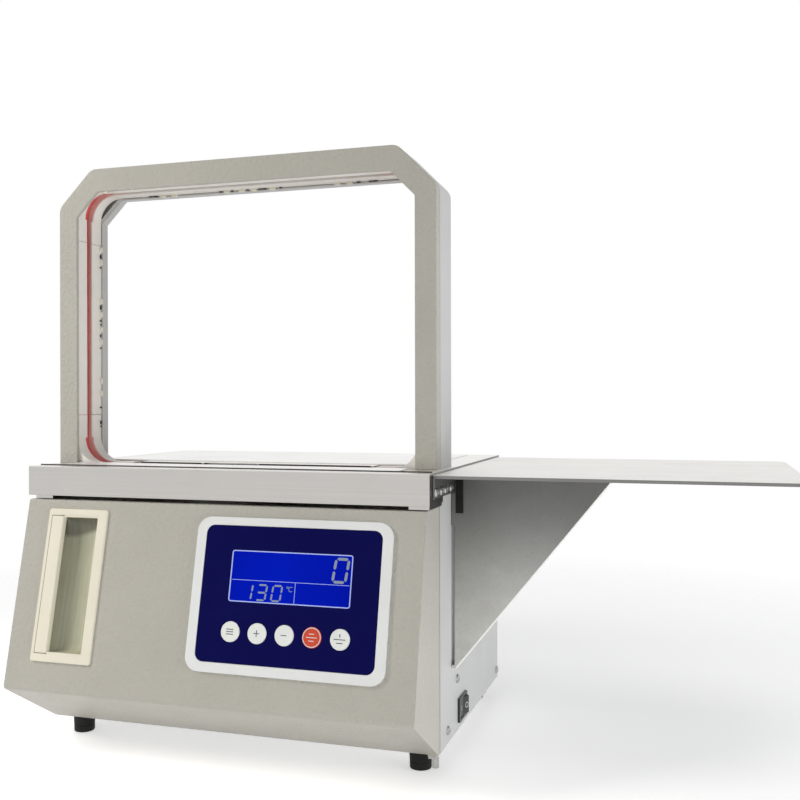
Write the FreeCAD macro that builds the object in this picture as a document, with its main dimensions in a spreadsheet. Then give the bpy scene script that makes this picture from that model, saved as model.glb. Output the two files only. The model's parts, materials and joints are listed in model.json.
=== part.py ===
import FreeCAD, Part
import Sketcher
import math
import os
import re

# Banknote strapping machine: a floor-standing box of sheet metal with a stainless deck, a tape arch,
# a tilting front door that carries the control panel, and an extension table on the right.
# Frame: X to the right along the front, Y to the back, Z up. The origin is on the floor, in the
# middle of the four feet. Lengths are in millimetres, angles in degrees.

DIMENSIONS = [
    ("body_width", 425.6, "outside of the two side panels"),
    ("body_rear", 146, "rear panel behind the origin"),
    ("side_front", 129.8, "front edge of the side panels ahead of the origin"),
    ("base_bottom", 19.5, "underside of the base pan above the floor"),
    ("pan_wall", 8.5, "upturned edge of the base pan"),
    ("panel_sheet", 1.2, "sheet of the panels and of the deck"),
    ("pan_front", 128, "front edge of the base pan"),
    ("pan_slot", 60, "half the length of a slot in the base pan"),
    ("pan_slot_wide", 4, "width of a slot in the base pan"),
    ("deck_top", 290, "work surface above the floor"),
    ("deck_width", 432, "stainless deck across"),
    ("deck_centre", -1, "middle of the deck across"),
    ("deck_front", 175, "front of the deck ahead of the origin"),
    ("skirt", 30, "front skirt of the deck"),
    ("tab_thick", 3, "tabs below the front skirt"),
    ("side_skirt", 22, "side and rear skirt of the deck behind the door"),
    ("plate_front", 157, "front edge of the front table plate"),
    ("door_top", 256, "top of the door"),
    ("door_top_front", 178.5, "front face of the door at its top"),
    ("door_bend_front", 220, "front face of the door at its lower bend"),
    ("door_bend_top", 72, "height of the lower bend"),
    ("door_foot", 20, "underside of the door"),
    ("door_foot_front", 137, "where the slanted underside ends"),
    ("door_rear", 132, "rear edge of the door's sides"),
    ("door_wall", 1.5, "sheet of the door"),
    ("door_tilt", 12.7, "lean of the door's front face"),
    ("catch_low", 140, "lower end of the door's catch"),
    ("catch_tall", 32, "door's catch"),
    ("hinge_across", 209.3, "door pivot axis, to the right"),
    ("hinge_front", 134, "door pivot axis, ahead of the origin"),
    ("pin_radius", 1.5, "door pivot pin"),
    ("arch_centre", -5.5, "middle of the arch across"),
    ("arch_width", 426, "outside of the arch"),
    ("arch_top", 608, "top of the arch"),
    ("arch_front", 121, "front face of the arch"),
    ("arch_depth", 58, "arch from front to back"),
    ("arch_leg", 22, "width of a leg's front face"),
    ("arch_bar", 25, "height of the top bar's front face"),
    ("arch_corner", 40, "outer corner bevel"),
    ("arch_round", 14, "rounding between a side of the arch and a bevel"),
    ("window_corner", 25.5, "inner corner bevel"),
    ("frame_rim", 14, "depth of the front frame's outer rim"),
    ("frame_lip", 4, "depth of the front frame's inner lip"),
    ("arch_wall", 1.5, "sheet of the arch covers"),
    ("guide_recess", 2, "guide face behind the frame's inner edge"),
    ("rear_lip", 73, "front edge of the rear cover's inner lip"),
    ("guide_front", 119.4, "front side of the tape guide"),
    ("guide_rear", 64.6, "rear side of the tape guide"),
    ("guide_thick", 11.5, "tape guide from face to back"),
    ("guide_turn", 27, "radius of the guide's face in a corner"),
    ("guide_leg", 25, "straight end of a corner guide"),
    ("flap", 2, "flap in front of the tape channel"),
    ("channel_depth", 8, "tape channel behind the flaps"),
    ("tape_line", 95, "middle of the tape ahead of the origin"),
    ("channel_width", 22, "tape channel, for tape 20 wide"),
    ("slot_width", 9.4, "slit between the flaps"),
    ("corner_slot", 15, "slit round a corner"),
    ("liner", 0.8, "thickness of the liner in the channel"),
    ("panel_centre", 85, "middle of the control panel across"),
    ("panel_width", 198, "control panel bezel across"),
    ("panel_drop", 11.3, "top of the bezel below the door's top, along the face"),
    ("panel_height", 145, "control panel bezel along the face"),
    ("panel_round", 14, "corner radius of the bezel"),
    ("overlay_width", 178.5, "overlay across"),
    ("overlay_drop", 19, "top of the overlay below the door's top"),
    ("overlay_height", 128, "overlay along the face"),
    ("overlay_round", 8, "corner radius of the overlay"),
    ("screen_width", 122, "display window across"),
    ("screen_drop", 42.2, "top of the display window below the door's top"),
    ("screen_height", 48, "display window along the face"),
    ("button_drop", 118, "row of buttons below the door's top"),
    ("button_pitch", 27.35, "from one button to the next"),
    ("button_radius", 9.3, "button cap"),
    ("panel_proud", 3, "front of the bezel ahead of the door's face"),
    ("button_travel", 0.8, "stroke of a button"),
    ("pull_centre", -151, "middle of the recessed pull across"),
    ("pull_width", 68, "bezel of the pull across"),
    ("pull_drop", 9, "top of the pull below the door's top"),
    ("pull_height", 151, "bezel of the pull along the face"),
    ("cup_left", -167, "left side of the pull's mouth"),
    ("cup_right", -128, "right side of the pull's mouth"),
    ("cup_drop", 17.3, "top of the pull's mouth below the door's top"),
    ("cup_height", 133, "mouth of the pull along the face"),
    ("cup_depth", 22, "pull behind the door's face"),
    ("foot_across", 190, "feet from the middle across"),
    ("foot_along", 118, "feet from the middle along"),
    ("foot_radius", 10.7, "rubber foot at the floor"),
    ("table_top", 288, "extension table surface"),
    ("table_left", 215.3, "extension table beside the deck"),
    ("table_right", 541, "free end of the extension table"),
    ("table_front", 165, "extension table front"),
    ("table_rear", 135, "extension table rear"),
    ("table_thick", 3, "extension table plate"),
    ("table_flange", 22, "flange along the deck, from the table's surface down"),
    ("table_screw", 16, "screws of the flange below the table's surface"),
    ("gusset_line", 86, "front gusset ahead of the origin"),
    ("gusset_foot", 90, "lowest point of a gusset"),
    ("gusset_reach", 371, "far end of a gusset"),
    ("gusset_less", 6, "how much smaller the rear gusset is, so that the front one hides it"),
    ("gusset_sheet", 1.5, "sheet of a gusset"),
    ("gusset_gap", 3, "slit between a gusset's web and the side panel"),
    ("gap_top", 232, "upper end of that slit"),
    ("gusset_flange", 14, "depth of the flange along a gusset's slant"),
    ("screw_radius", 4.6, "round screw head"),
    ("chassis_front", 66, "front of the upright chassis plate"),
    ("chassis_thick", 3, "chassis plate"),
    ("chassis_top", 283, "top of the chassis plate"),
    ("reel_across", -122, "reel axis across"),
    ("reel_height", 110, "reel axis above the floor"),
    ("roll_radius", 75, "full roll of tape"),
    ("core_radius", 30, "core that carries the roll"),
    ("tape_width", 20, "tape"),
    ("spindle_radius", 7, "reel spindle"),
    ("head_across", -32, "middle of the sealing head across"),
    ("cam_height", 160, "cam shaft above the floor"),
    ("cam_radius", 14, "eccentric disc"),
    ("cam_throw", 5, "offset of an eccentric disc"),
    ("block_low", 208, "underside of the block that guides the head"),
    ("block_top", 256, "top of that block"),
    ("press_top", 271, "top of the press at rest"),
    ("gripper_top", 276, "top of a gripper at rest"),
    ("blade_low", 280, "underside of the heater blade"),
    ("blade_thick", 1.4, "heater blade"),
    ("holder_low", 274, "underside of the blade's holder"),
    ("holder_top", 282, "top of the blade's holder"),
    ("feed_across", 24, "feed roller axis across"),
    ("feed_height", 250, "feed and pinch roller axes above the floor"),
    ("feed_radius", 12, "feed roller"),
    ("pinch_radius", 10, "pinch roller"),
    ("roller_gap", 0.3, "gap between the rollers, for the tape"),
    ("arm_across", 20, "tension arm pivot across"),
    ("arm_height", 120, "tension arm pivot above the floor"),
    ("arm_length", 58, "tension arm from pivot to roller"),
    ("arm_roller", 9, "tension roller"),
    ("switch_centre", 43, "power switch ahead of the origin"),
    ("switch_height", 39, "power switch above the floor"),
    ("switch_length", 34, "switch frame from front to back"),
    ("switch_tall", 25, "switch frame upright"),
    ("rocker_swing", 13.4, "half the length of the rocker"),
    ("inlet_across", -136, "power inlet across"),
    ("inlet_height", 52, "power inlet above the floor"),
]

DOCUMENT = FreeCAD.newDocument("strapping_machine")
SHEET = DOCUMENT.addObject("Spreadsheet::Sheet", "Sheet")
for row, (alias, amount, note) in enumerate(DIMENSIONS, start=1):
    SHEET.set("A%d" % row, note)
    SHEET.set("B%d" % row, str(amount))
    SHEET.setAlias("B%d" % row, alias)
DOCUMENT.recompute()

ALIASES = {alias for alias, amount, note in DIMENSIONS}
NODES = {}
TABLE_SCREWS = (160, 141, 125, 104)
SIDE_SCREWS = [("-62", "73"), ("-101", "32.5"), ("138", "29.5"), ("130", "240")]
PLANES = {"XY": "XY_Plane", "XZ": "XZ_Plane", "YZ": "YZ_Plane"}
AXES = {"X": 0, "Y": 1, "Z": 2}


# Sizes from the sheet

def bound(text):
    """The text as an expression on the sheet: each alias gets the sheet's name in front."""
    def name(match):
        word = match.group(0)
        return "Sheet." + word if word in ALIASES else word
    return re.sub(r"[a-z][a-z_]*", name, str(text))


def number(text):
    """The value of such an expression now."""
    return float(SHEET.evalExpression(bound(text)))


def fresh(label, kind):
    return DOCUMENT.addObject(kind, label)


def keep(label, piece):
    """Name a finished sub-part, so that it is written as a node."""
    piece.Label = label
    NODES[label] = piece
    return piece


# Bodies made from sketches

def new_body(label):
    return keep(label, fresh(label, "PartDesign::Body"))


def new_sketch(body, plane, at):
    """A sketch on one of the body's own planes, moved to the coordinate `at` on the third axis."""
    sketch = body.newObject("Sketcher::SketchObject", body.Name + "_sketch")
    role = PLANES[plane]
    origin_plane = [part for part in body.Origin.OriginFeatures if part.Role == role][0]
    sketch.AttachmentSupport = [(origin_plane, "")]
    sketch.MapMode = "FlatFace"
    side = "-" if plane == "XZ" else ""
    sketch.setExpression("AttachmentOffset.Base.z", bound("%s(%s)" % (side, at)))
    return sketch


def fix(sketch, kind, place, vertex, text):
    """Bind one coordinate of a sketch point to the sheet."""
    row = sketch.addConstraint(Sketcher.Constraint(kind, -1, 1, place, vertex, number(text)))
    sketch.setExpression("Constraints[%d]" % row, bound(text))


def outline(body, plane, points, at):
    """A closed polygon whose corners are pairs of expressions."""
    sketch = new_sketch(body, plane, at)
    corners = [FreeCAD.Vector(number(x), number(y), 0) for x, y in points]
    count = len(corners)
    for index in range(count):
        sketch.addGeometry(Part.LineSegment(corners[index], corners[(index + 1) % count]), False)
    for index in range(count):
        sketch.addConstraint(Sketcher.Constraint("Coincident", index, 2, (index + 1) % count, 1))
    for index, (x, y) in enumerate(points):
        fix(sketch, "DistanceX", index, 1, x)
        fix(sketch, "DistanceY", index, 1, y)
    return sketch


def circles(body, plane, spots, at):
    """Circles given as (centre, centre, radius) expressions."""
    sketch = new_sketch(body, plane, at)
    for index, (x, y, radius) in enumerate(spots):
        centre = FreeCAD.Vector(number(x), number(y), 0)
        sketch.addGeometry(Part.Circle(centre, FreeCAD.Vector(0, 0, 1), number(radius)), False)
        fix(sketch, "DistanceX", index, 3, x)
        fix(sketch, "DistanceY", index, 3, y)
        row = sketch.addConstraint(Sketcher.Constraint("Radius", index, number(radius)))
        sketch.setExpression("Constraints[%d]" % row, bound(radius))
    return sketch


def grow(body, kind, sketch, low, high):
    feature = body.newObject(kind, body.Name + "_feature")
    feature.Profile = sketch
    feature.setExpression("Length", bound("(%s) - (%s)" % (high, low)))
    sketch.Visibility = False
    return feature


def add(body, plane, draw, shape, low, high):
    """Pad a sketch from low to high along the third axis. A pad on XZ runs towards the front."""
    at = high if plane == "XZ" else low
    return grow(body, "PartDesign::Pad", draw(body, plane, shape, at), low, high)


def take(body, plane, draw, shape, low, high):
    """Pocket a sketch from low to high. A pocket runs against the sketch's normal. The body has to
    lose volume, or the pocket pointed away from it."""
    at = low if plane == "XZ" else high
    DOCUMENT.recompute()
    before = body.Shape.Volume
    feature = grow(body, "PartDesign::Pocket", draw(body, plane, shape, at), low, high)
    DOCUMENT.recompute()
    if body.Shape.Volume > before - 1e-3:
        raise RuntimeError(body.Label + ": a pocket cut nothing")
    return feature


def dress(body, kind, size_name, size, axis, spots):
    """Fillet or chamfer the edges that run along one axis through the given spots."""
    DOCUMENT.recompute()
    along = AXES[axis]
    others = [index for index in range(3) if index != along]
    wanted = [(number(a), number(b)) for a, b in spots]
    names = []
    for index, edge in enumerate(body.Shape.Edges, start=1):
        if edge.Curve.TypeId != "Part::GeomLine":
            continue
        if abs(abs(edge.Curve.Direction[along]) - 1) > 1e-6:
            continue
        middle = edge.CenterOfMass
        here = (middle[others[0]], middle[others[1]])
        if any(math.hypot(here[0] - a, here[1] - b) < 0.02 for a, b in wanted):
            names.append("Edge%d" % index)
    if not names:
        raise RuntimeError(body.Label + ": no edge to dress")
    feature = body.newObject(kind, body.Name + "_dress")
    feature.Base = (body.Tip if body.Tip != feature else feature.BaseFeature, names)
    feature.setExpression(size_name, bound(size))
    DOCUMENT.recompute()
    return feature


def round_edges(body, radius, axis, spots):
    return dress(body, "PartDesign::Fillet", "Radius", radius, axis, spots)


def rectangle(left, right, bottom, top):
    return [(left, bottom), (right, bottom), (right, top), (left, top)]


def slab(label, plane, points, low, high):
    """A body that is one padded polygon."""
    body = new_body(label)
    add(body, plane, outline, points, low, high)
    return body


# Primitives and booleans

def block(label, left, right, front, rear, bottom, top):
    piece = fresh(label, "Part::Box")
    piece.setExpression("Length", bound("(%s) - (%s)" % (right, left)))
    piece.setExpression("Width", bound("(%s) - (%s)" % (rear, front)))
    piece.setExpression("Height", bound("(%s) - (%s)" % (top, bottom)))
    piece.setExpression("Placement.Base.x", bound(left))
    piece.setExpression("Placement.Base.y", bound(front))
    piece.setExpression("Placement.Base.z", bound(bottom))
    return piece


def rod(label, axis, spot, radius, low, high):
    """A cylinder along X, Y or Z; the spot gives the other two coordinates in order."""
    piece = fresh(label, "Part::Cylinder")
    turns = {"X": ((0, 1, 0), 90), "Y": ((1, 0, 0), -90), "Z": ((0, 0, 1), 0)}
    turn, angle = turns[axis]
    spin = FreeCAD.Rotation(FreeCAD.Vector(*turn), angle)
    piece.Placement = FreeCAD.Placement(FreeCAD.Vector(), spin)
    piece.setExpression("Radius", bound(radius))
    piece.setExpression("Height", bound("(%s) - (%s)" % (high, low)))
    places = list(spot)
    places.insert(AXES[axis], low)
    for letter, text in zip("xyz", places):
        piece.setExpression("Placement.Base." + letter, bound(text))
    return piece


def fuse(label, pieces):
    joined = fresh(label, "Part::MultiFuse")
    joined.Shapes = pieces
    return joined


def cut(label, base, tools):
    rest = fresh(label, "Part::Cut")
    rest.Base = base
    rest.Tool = tools[0] if len(tools) == 1 else fuse(label + "_tools", tools)
    return rest


def group(label, pieces):
    together = fresh(label, "Part::Compound")
    together.Links = pieces
    return together


def on_door_face(piece):
    """Lay a piece, drawn flat with Y up the face and Z outwards, on the door's leaning face."""
    piece.Placement = FreeCAD.Placement(FreeCAD.Vector(), FreeCAD.Rotation(FreeCAD.Vector(1, 0, 0), 77))
    piece.setExpression("Placement.Base.y", bound("-door_top_front"))
    piece.setExpression("Placement.Base.z", bound("door_top"))
    piece.setExpression("Placement.Rotation.Angle", bound("90 - door_tilt"))
    return piece


# Lower housing: pan, side panels, rear panel and the upright plate that carries the mechanism

def make_base_pan():
    wall = "body_width / 2 - panel_sheet - 0.2"
    rear = "body_rear - panel_sheet - 0.2"
    body = slab("base_pan", "XY", rectangle("-(%s)" % wall, wall, "-pan_front", rear),
                "base_bottom", "base_bottom + pan_wall")
    inner = rectangle("-(%s) + panel_sheet" % wall, wall + " - panel_sheet",
                      "-pan_front + panel_sheet", rear + " - panel_sheet")
    take(body, "XY", outline, inner, "base_bottom + panel_sheet", "base_bottom + pan_wall")
    tongue = rectangle("hinge_across - 6", "hinge_across + 2", "-hinge_front - 5", "-pan_front + 0.5")
    add(body, "XY", outline, tongue, "base_bottom - 2.5", "base_bottom")
    root = rectangle("hinge_across - 6", "hinge_across + 2", "-pan_front", "-pan_front + panel_sheet")
    add(body, "XY", outline, root, "base_bottom - 2.5", "base_bottom + 4")
    holes = [("hinge_across", "-hinge_front", "pin_radius + 0.2")]
    for side in ("-", ""):
        for end in ("-", ""):
            holes.append((side + "foot_across", end + "foot_along", "2.6"))
    take(body, "XY", circles, holes, "base_bottom - 3", "base_bottom + panel_sheet + 0.5")
    first_slot = rectangle("-pan_slot", "pan_slot", "-40", "-40 + pan_slot_wide")
    slot = take(body, "XY", outline, first_slot, "base_bottom", "base_bottom + panel_sheet")
    slots = body.newObject("PartDesign::LinearPattern", "base_slots")
    slots.Originals = [slot]
    slots.Direction = (slot.Profile[0], ["V_Axis"])
    slots.Length = 100
    slots.Occurrences = 8
    body.Tip = slots


def make_side_panel(label, side):
    """side is -1 on the left and 1 on the right, where the switch sits."""
    outer = "body_width / 2"
    low, high = (outer + " - panel_sheet", outer)
    if side < 0:
        low, high = ("-(%s)" % outer, "-(%s) + panel_sheet" % outer)
    sheet = rectangle("-side_front", "body_rear", "base_bottom", "deck_top - panel_sheet - 0.1")
    body = slab(label, "YZ", sheet, low, high)
    take(body, "YZ", circles, [spot + ("2.1",) for spot in SIDE_SCREWS], low, high)
    if side > 0:
        opening = rectangle("-switch_centre - 14.9", "-switch_centre + 14.9",
                            "switch_height - 10.9", "switch_height + 10.9")
        take(body, "YZ", outline, opening, low, high)
    vent = take(body, "YZ", outline, rectangle("20", "23", "150", "215"), low, high)
    vents = body.newObject("PartDesign::LinearPattern", label + "_vents")
    vents.Originals = [vent]
    vents.Direction = (vent.Profile[0], ["H_Axis"])
    vents.Length = 84
    vents.Occurrences = 13
    body.Tip = vents


def make_rear_panel():
    wall = "body_width / 2 - panel_sheet"
    sheet = rectangle("-(%s)" % wall, wall, "base_bottom", "deck_top - panel_sheet - 0.1")
    body = slab("rear_panel", "XZ", sheet, "body_rear - panel_sheet", "body_rear")
    opening = rectangle("inlet_across - 13.9", "inlet_across + 13.9",
                        "inlet_height - 10.2", "inlet_height + 10.2")
    take(body, "XZ", outline, opening, "body_rear - panel_sheet", "body_rear")
    vent = take(body, "XZ", outline, rectangle("-70", "70", "120", "123.5"),
                "body_rear - panel_sheet", "body_rear")
    vents = body.newObject("PartDesign::LinearPattern", "rear_vents")
    vents.Originals = [vent]
    vents.Direction = (vent.Profile[0], ["V_Axis"])
    vents.Length = 90
    vents.Occurrences = 10
    body.Tip = vents


def make_chassis_plate():
    edge = "body_width / 2 - 2 * panel_sheet - 0.4"
    front, rear = "-chassis_front", "-chassis_front + chassis_thick"
    plate = rectangle("-(%s)" % edge, edge, "base_bottom + 1.4", "chassis_top")
    body = slab("chassis_plate", "XZ", plate, front, rear)
    for side in ("left", "right"):
        inner, outer = ("%s - 3" % edge, edge)
        if side == "left":
            inner, outer = ("-(%s)" % edge, "-(%s) + 3" % edge)
        flange = rectangle(inner, outer, rear, "-chassis_front + 18")
        add(body, "XY", outline, flange, "base_bottom + 1.4", "deck_top - 6")
    holes = [
        ("head_across", "cam_height", "6.3"),
        ("feed_across", "feed_height", "4.3"),
        ("feed_across + feed_radius + pinch_radius + roller_gap", "feed_height", "3.3"),
        ("arm_across", "arm_height", "4.3"),
    ]
    take(body, "XZ", circles, holes, front, rear)
    notch = rectangle("head_across - 14", "head_across + 14", "270", "chassis_top")
    take(body, "XZ", outline, notch, front, rear)
    switch_room = rectangle(rear + " + 0.5", "-chassis_front + 19", "base_bottom + 1.4", "switch_height + 16")
    take(body, "YZ", outline, switch_room, edge + " - 3.5", edge)


# Deck: stainless tray with a slot for the tape and two raised plates

def make_deck_tray():
    left = "deck_centre - deck_width / 2"
    right = "deck_centre + deck_width / 2"
    step = "-side_front + 3"
    rear = "body_rear + panel_sheet + 0.3"
    body = slab("deck_tray", "XY", rectangle(left, right, "-deck_front", rear),
                "deck_top - skirt", "deck_top")
    round_edges(body, "2", "X", [("-deck_front", "deck_top")])
    inside = rectangle(left + " + panel_sheet", right + " - panel_sheet",
                       "-deck_front + panel_sheet", rear + " - panel_sheet")
    take(body, "XY", outline, inside, "deck_top - skirt", "deck_top - panel_sheet")
    rear_part = rectangle(left + " - 1", right + " + 1", step, rear + " + 1")
    take(body, "XY", outline, rear_part, "deck_top - skirt", "deck_top - side_skirt")
    for inner, outer in ((left + " + 9", left + " + 29"), (right + " - 20", right + " - 0.2")):
        tab = rectangle(inner, outer, "-deck_front + 0.2", "-side_front - 0.3")
        add(body, "XY", outline, tab, "deck_top - skirt - tab_thick", "deck_top - skirt")
    take(body, "XY", circles, [("hinge_across", "-hinge_front", "pin_radius + 0.2")],
         "deck_top - skirt - tab_thick", "deck_top - skirt")
    end_left = "arch_centre - arch_width / 2 + arch_wall"
    end_right = "arch_centre + arch_width / 2 - arch_wall"
    turn = "arch_leg + guide_turn + guide_leg + 1"
    wide_front, wide_rear = "-guide_front - 0.5", "-guide_rear + 0.5"
    thin_front, thin_rear = "-tape_line - channel_width / 2", "-tape_line + channel_width / 2"
    head_left, head_right = "head_across - 31", "head_across + 31"
    head_front, head_rear = "-tape_line - 17", "-tape_line + 17"
    near = "%s + %s" % (end_left, turn)
    far = "%s - (%s)" % (end_right, turn)
    slot = [
        (end_left, wide_front), (near, wide_front), (near, thin_front), (head_left, thin_front),
        (head_left, head_front), (head_right, head_front), (head_right, thin_front), (far, thin_front),
        (far, wide_front), (end_right, wide_front), (end_right, wide_rear), (far, wide_rear),
        (far, thin_rear), (head_right, thin_rear), (head_right, head_rear), (head_left, head_rear),
        (head_left, thin_rear), (near, thin_rear), (near, wide_rear), (end_left, wide_rear),
    ]
    take(body, "XY", outline, slot, "deck_top - panel_sheet - 1", "deck_top")


def make_table_plates():
    left = "arch_centre - arch_width / 2 + arch_leg + 6"
    right = "arch_centre + arch_width / 2 - arch_leg - 6"
    slab("table_plate_front", "XY", rectangle(left, right, "-plate_front", "-guide_front - 3"),
         "deck_top", "deck_top + panel_sheet")
    slab("table_plate_rear", "XY", rectangle(left, right, "-guide_rear + 3", "body_rear - 16"),
         "deck_top", "deck_top + panel_sheet")


# Arch: a painted front frame, a rear cover, and plastic guides round the window

def arch_outline(inset, widen):
    """The arch seen from the front, its outer edge moved in and its window moved outwards."""
    left = "arch_centre - arch_width / 2"
    right = "arch_centre + arch_width / 2"
    bevel = "arch_corner - 0.586 * (%s)" % inset
    notch = "window_corner + 0.586 * (%s)" % widen
    out_left, out_right = "%s + %s" % (left, inset), "%s - (%s)" % (right, inset)
    out_top = "arch_top - (%s)" % inset
    in_left = "%s + arch_leg - (%s)" % (left, widen)
    in_right = "%s - arch_leg + %s" % (right, widen)
    in_top = "arch_top - arch_bar + %s" % widen
    floor = "deck_top"
    return [
        (out_left, floor), (out_left, "%s - (%s)" % (out_top, bevel)),
        ("%s + %s" % (out_left, bevel), out_top), ("%s - (%s)" % (out_right, bevel), out_top),
        (out_right, "%s - (%s)" % (out_top, bevel)), (out_right, floor),
        (in_right, floor), (in_right, "%s - (%s)" % (in_top, notch)),
        ("%s - (%s)" % (in_right, notch), in_top), ("%s + %s" % (in_left, notch), in_top),
        (in_left, "%s - (%s)" % (in_top, notch)), (in_left, floor),
    ]


def make_arch_covers():
    front = "-arch_front"
    seam = "-arch_front + frame_rim"
    rear = "-arch_front + arch_depth"
    outer_corners = arch_outline("0", "0")[1:5]

    inner_corners = arch_outline("arch_wall", "0")[1:5]

    frame = slab("arch_front_frame", "XZ", arch_outline("0", "0"), front, seam)
    round_edges(frame, "arch_round", "Y", outer_corners)
    take(frame, "XZ", outline, arch_outline("arch_wall", "0"), front + " + frame_lip", seam)
    take(frame, "XZ", outline, arch_outline("arch_wall", "arch_wall"), front + " + arch_wall",
         front + " + frame_lip + 0.5")
    round_edges(frame, "arch_round - arch_wall", "Y", inner_corners)

    cover = slab("arch_rear_cover", "XZ", arch_outline("0", "0"), seam + " + 0.3", rear)
    round_edges(cover, "arch_round", "Y", outer_corners)
    take(cover, "XZ", outline, arch_outline("arch_wall", "0"), seam, "-rear_lip")
    take(cover, "XZ", outline, arch_outline("arch_wall", "arch_wall"), "-rear_lip - 0.5",
         rear + " - arch_wall")
    round_edges(cover, "arch_round - arch_wall", "Y", inner_corners)

    # A web in each upper corner closes the pocket between the window's bevel and the guide's turn.
    left, top = "arch_centre - arch_width / 2 + arch_leg", "arch_top - arch_bar"
    right = "arch_centre + arch_width / 2 - arch_leg"
    web_out = "window_corner - arch_wall"
    for side, turn in ((left, "+"), (right, "-")):
        web = [
            (side, top + " - window_corner"), ("%s %s window_corner" % (side, turn), top),
            ("%s %s (%s)" % (side, turn, web_out), top + " + arch_wall + 4"),
            ("%s %s (-arch_wall - 4)" % (side, turn), "%s - (%s)" % (top, web_out)),
        ]
        add(cover, "XZ", outline, web, "-rear_lip", "-rear_lip + arch_wall")


def guide_section(face, out, across, slot="slot_width", front="-guide_front", rear="-guide_rear"):
    """The section of a guide: a channel that is open only at a slit between two flaps. face is the
    coordinate of the guide's face, out the sign that points away from the window."""
    def off(depth):
        return "%s %s (%s)" % (face, out, depth)
    wide = ("-tape_line - channel_width / 2", "-tape_line + channel_width / 2")
    slit = ("-tape_line - %s / 2" % slot, "-tape_line + %s / 2" % slot)
    back = "flap + channel_depth"
    corners = [
        (off("0"), front), (off("guide_thick"), front), (off("guide_thick"), rear), (off("0"), rear),
        (off("0"), slit[1]), (off("flap"), slit[1]), (off("flap"), wide[1]), (off(back), wide[1]),
        (off(back), wide[0]), (off("flap"), wide[0]), (off("flap"), slit[0]), (off("0"), slit[0]),
    ]
    if across:
        return corners
    return [(y, x) for x, y in corners]


def make_guides():
    face_left = "arch_centre - arch_width / 2 + arch_leg - guide_recess"
    face_right = "arch_centre + arch_width / 2 - arch_leg + guide_recess"
    face_top = "arch_top - arch_bar + guide_recess"
    reach = "guide_turn + guide_leg"
    low, high = "deck_top + %s + 0.4" % reach, "%s - (%s) - 0.4" % (face_top, reach)

    left = new_body("guide_left")
    add(left, "XY", outline, guide_section(face_left, "-", True), low, high)
    right = new_body("guide_right")
    add(right, "XY", outline, guide_section(face_right, "+", True), low, high)
    top = new_body("guide_top")
    add(top, "YZ", outline, guide_section(face_top, "+", False),
        "%s + %s + 0.4" % (face_left, reach), "%s - (%s) - 0.4" % (face_right, reach))

    # Each corner is drawn about the centre of its turn, as a top right corner, and then turned.
    corners = [
        ("top_right", face_right + " - guide_turn", face_top + " - guide_turn", 0),
        ("bottom_right", face_right + " - guide_turn", "deck_top + guide_turn", 90),
        ("bottom_left", face_left + " + guide_turn", "deck_top + guide_turn", 180),
        ("top_left", face_left + " + guide_turn", face_top + " - guide_turn", 270),
    ]
    lips = ("-arch_front + frame_lip + 0.1", "-rear_lip - 0.1")
    wide = guide_section("guide_turn", "+", True, "corner_slot", *lips)
    upright = guide_section("guide_turn", "+", True, "slot_width", *lips)
    level = guide_section("guide_turn", "+", False, "slot_width", *lips)
    for name, across, height, angle in corners:
        body = new_body("guide_corner_" + name)
        profile = outline(body, "XY", wide, "0")
        bend = body.newObject("PartDesign::Revolution", body.Name + "_bend")
        bend.Profile = profile
        bend.ReferenceAxis = (profile, ["V_Axis"])
        bend.Angle = 90
        bend.Reversed = True
        DOCUMENT.recompute()
        if bend.Shape.BoundBox.ZMax < 1:
            bend.Reversed = False
        add(body, "XY", outline, upright, "-guide_leg", "0")
        add(body, "YZ", outline, level, "-guide_leg", "0")
        spin = FreeCAD.Rotation(FreeCAD.Vector(0, 1, 0), angle)
        body.Placement = FreeCAD.Placement(FreeCAD.Vector(), spin)
        body.setExpression("Placement.Base.x", bound(across))
        body.setExpression("Placement.Base.z", bound(height))


def liner_outline(depth):
    """The ring at a depth behind the guides' faces, from one lower end round to the other."""
    left = "arch_centre - arch_width / 2 + arch_leg - guide_recess - (%s)" % depth
    right = "arch_centre + arch_width / 2 - arch_leg + guide_recess + %s" % depth
    top = "arch_top - arch_bar + guide_recess + %s" % depth
    bottom = "deck_top - (%s)" % depth
    return left, right, top, bottom


def make_guide_liner():
    outer = liner_outline("flap + channel_depth - 0.1")
    inner = liner_outline("flap + channel_depth - 0.1 - liner")
    end_left = "arch_centre - arch_width / 2 + arch_leg + guide_turn + guide_leg - guide_recess"
    end_right = "arch_centre + arch_width / 2 - arch_leg - guide_turn - guide_leg + guide_recess"
    ring = [
        (end_left, outer[3]), (outer[0], outer[3]), (outer[0], outer[2]), (outer[1], outer[2]),
        (outer[1], outer[3]), (end_right, outer[3]), (end_right, inner[3]), (inner[1], inner[3]),
        (inner[1], inner[2]), (inner[0], inner[2]), (inner[0], inner[3]), (end_left, inner[3]),
    ]
    half = "channel_width / 2 - 0.5"
    body = slab("guide_liner", "XZ", ring, "-tape_line - (%s)" % half, "-tape_line + %s" % half)
    turn = "guide_turn + flap + channel_depth - 0.1"
    round_edges(body, turn, "Y", [ring[index] for index in (1, 2, 3, 4)])
    round_edges(body, turn + " - liner", "Y", [ring[index] for index in (7, 8, 9, 10)])


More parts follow.
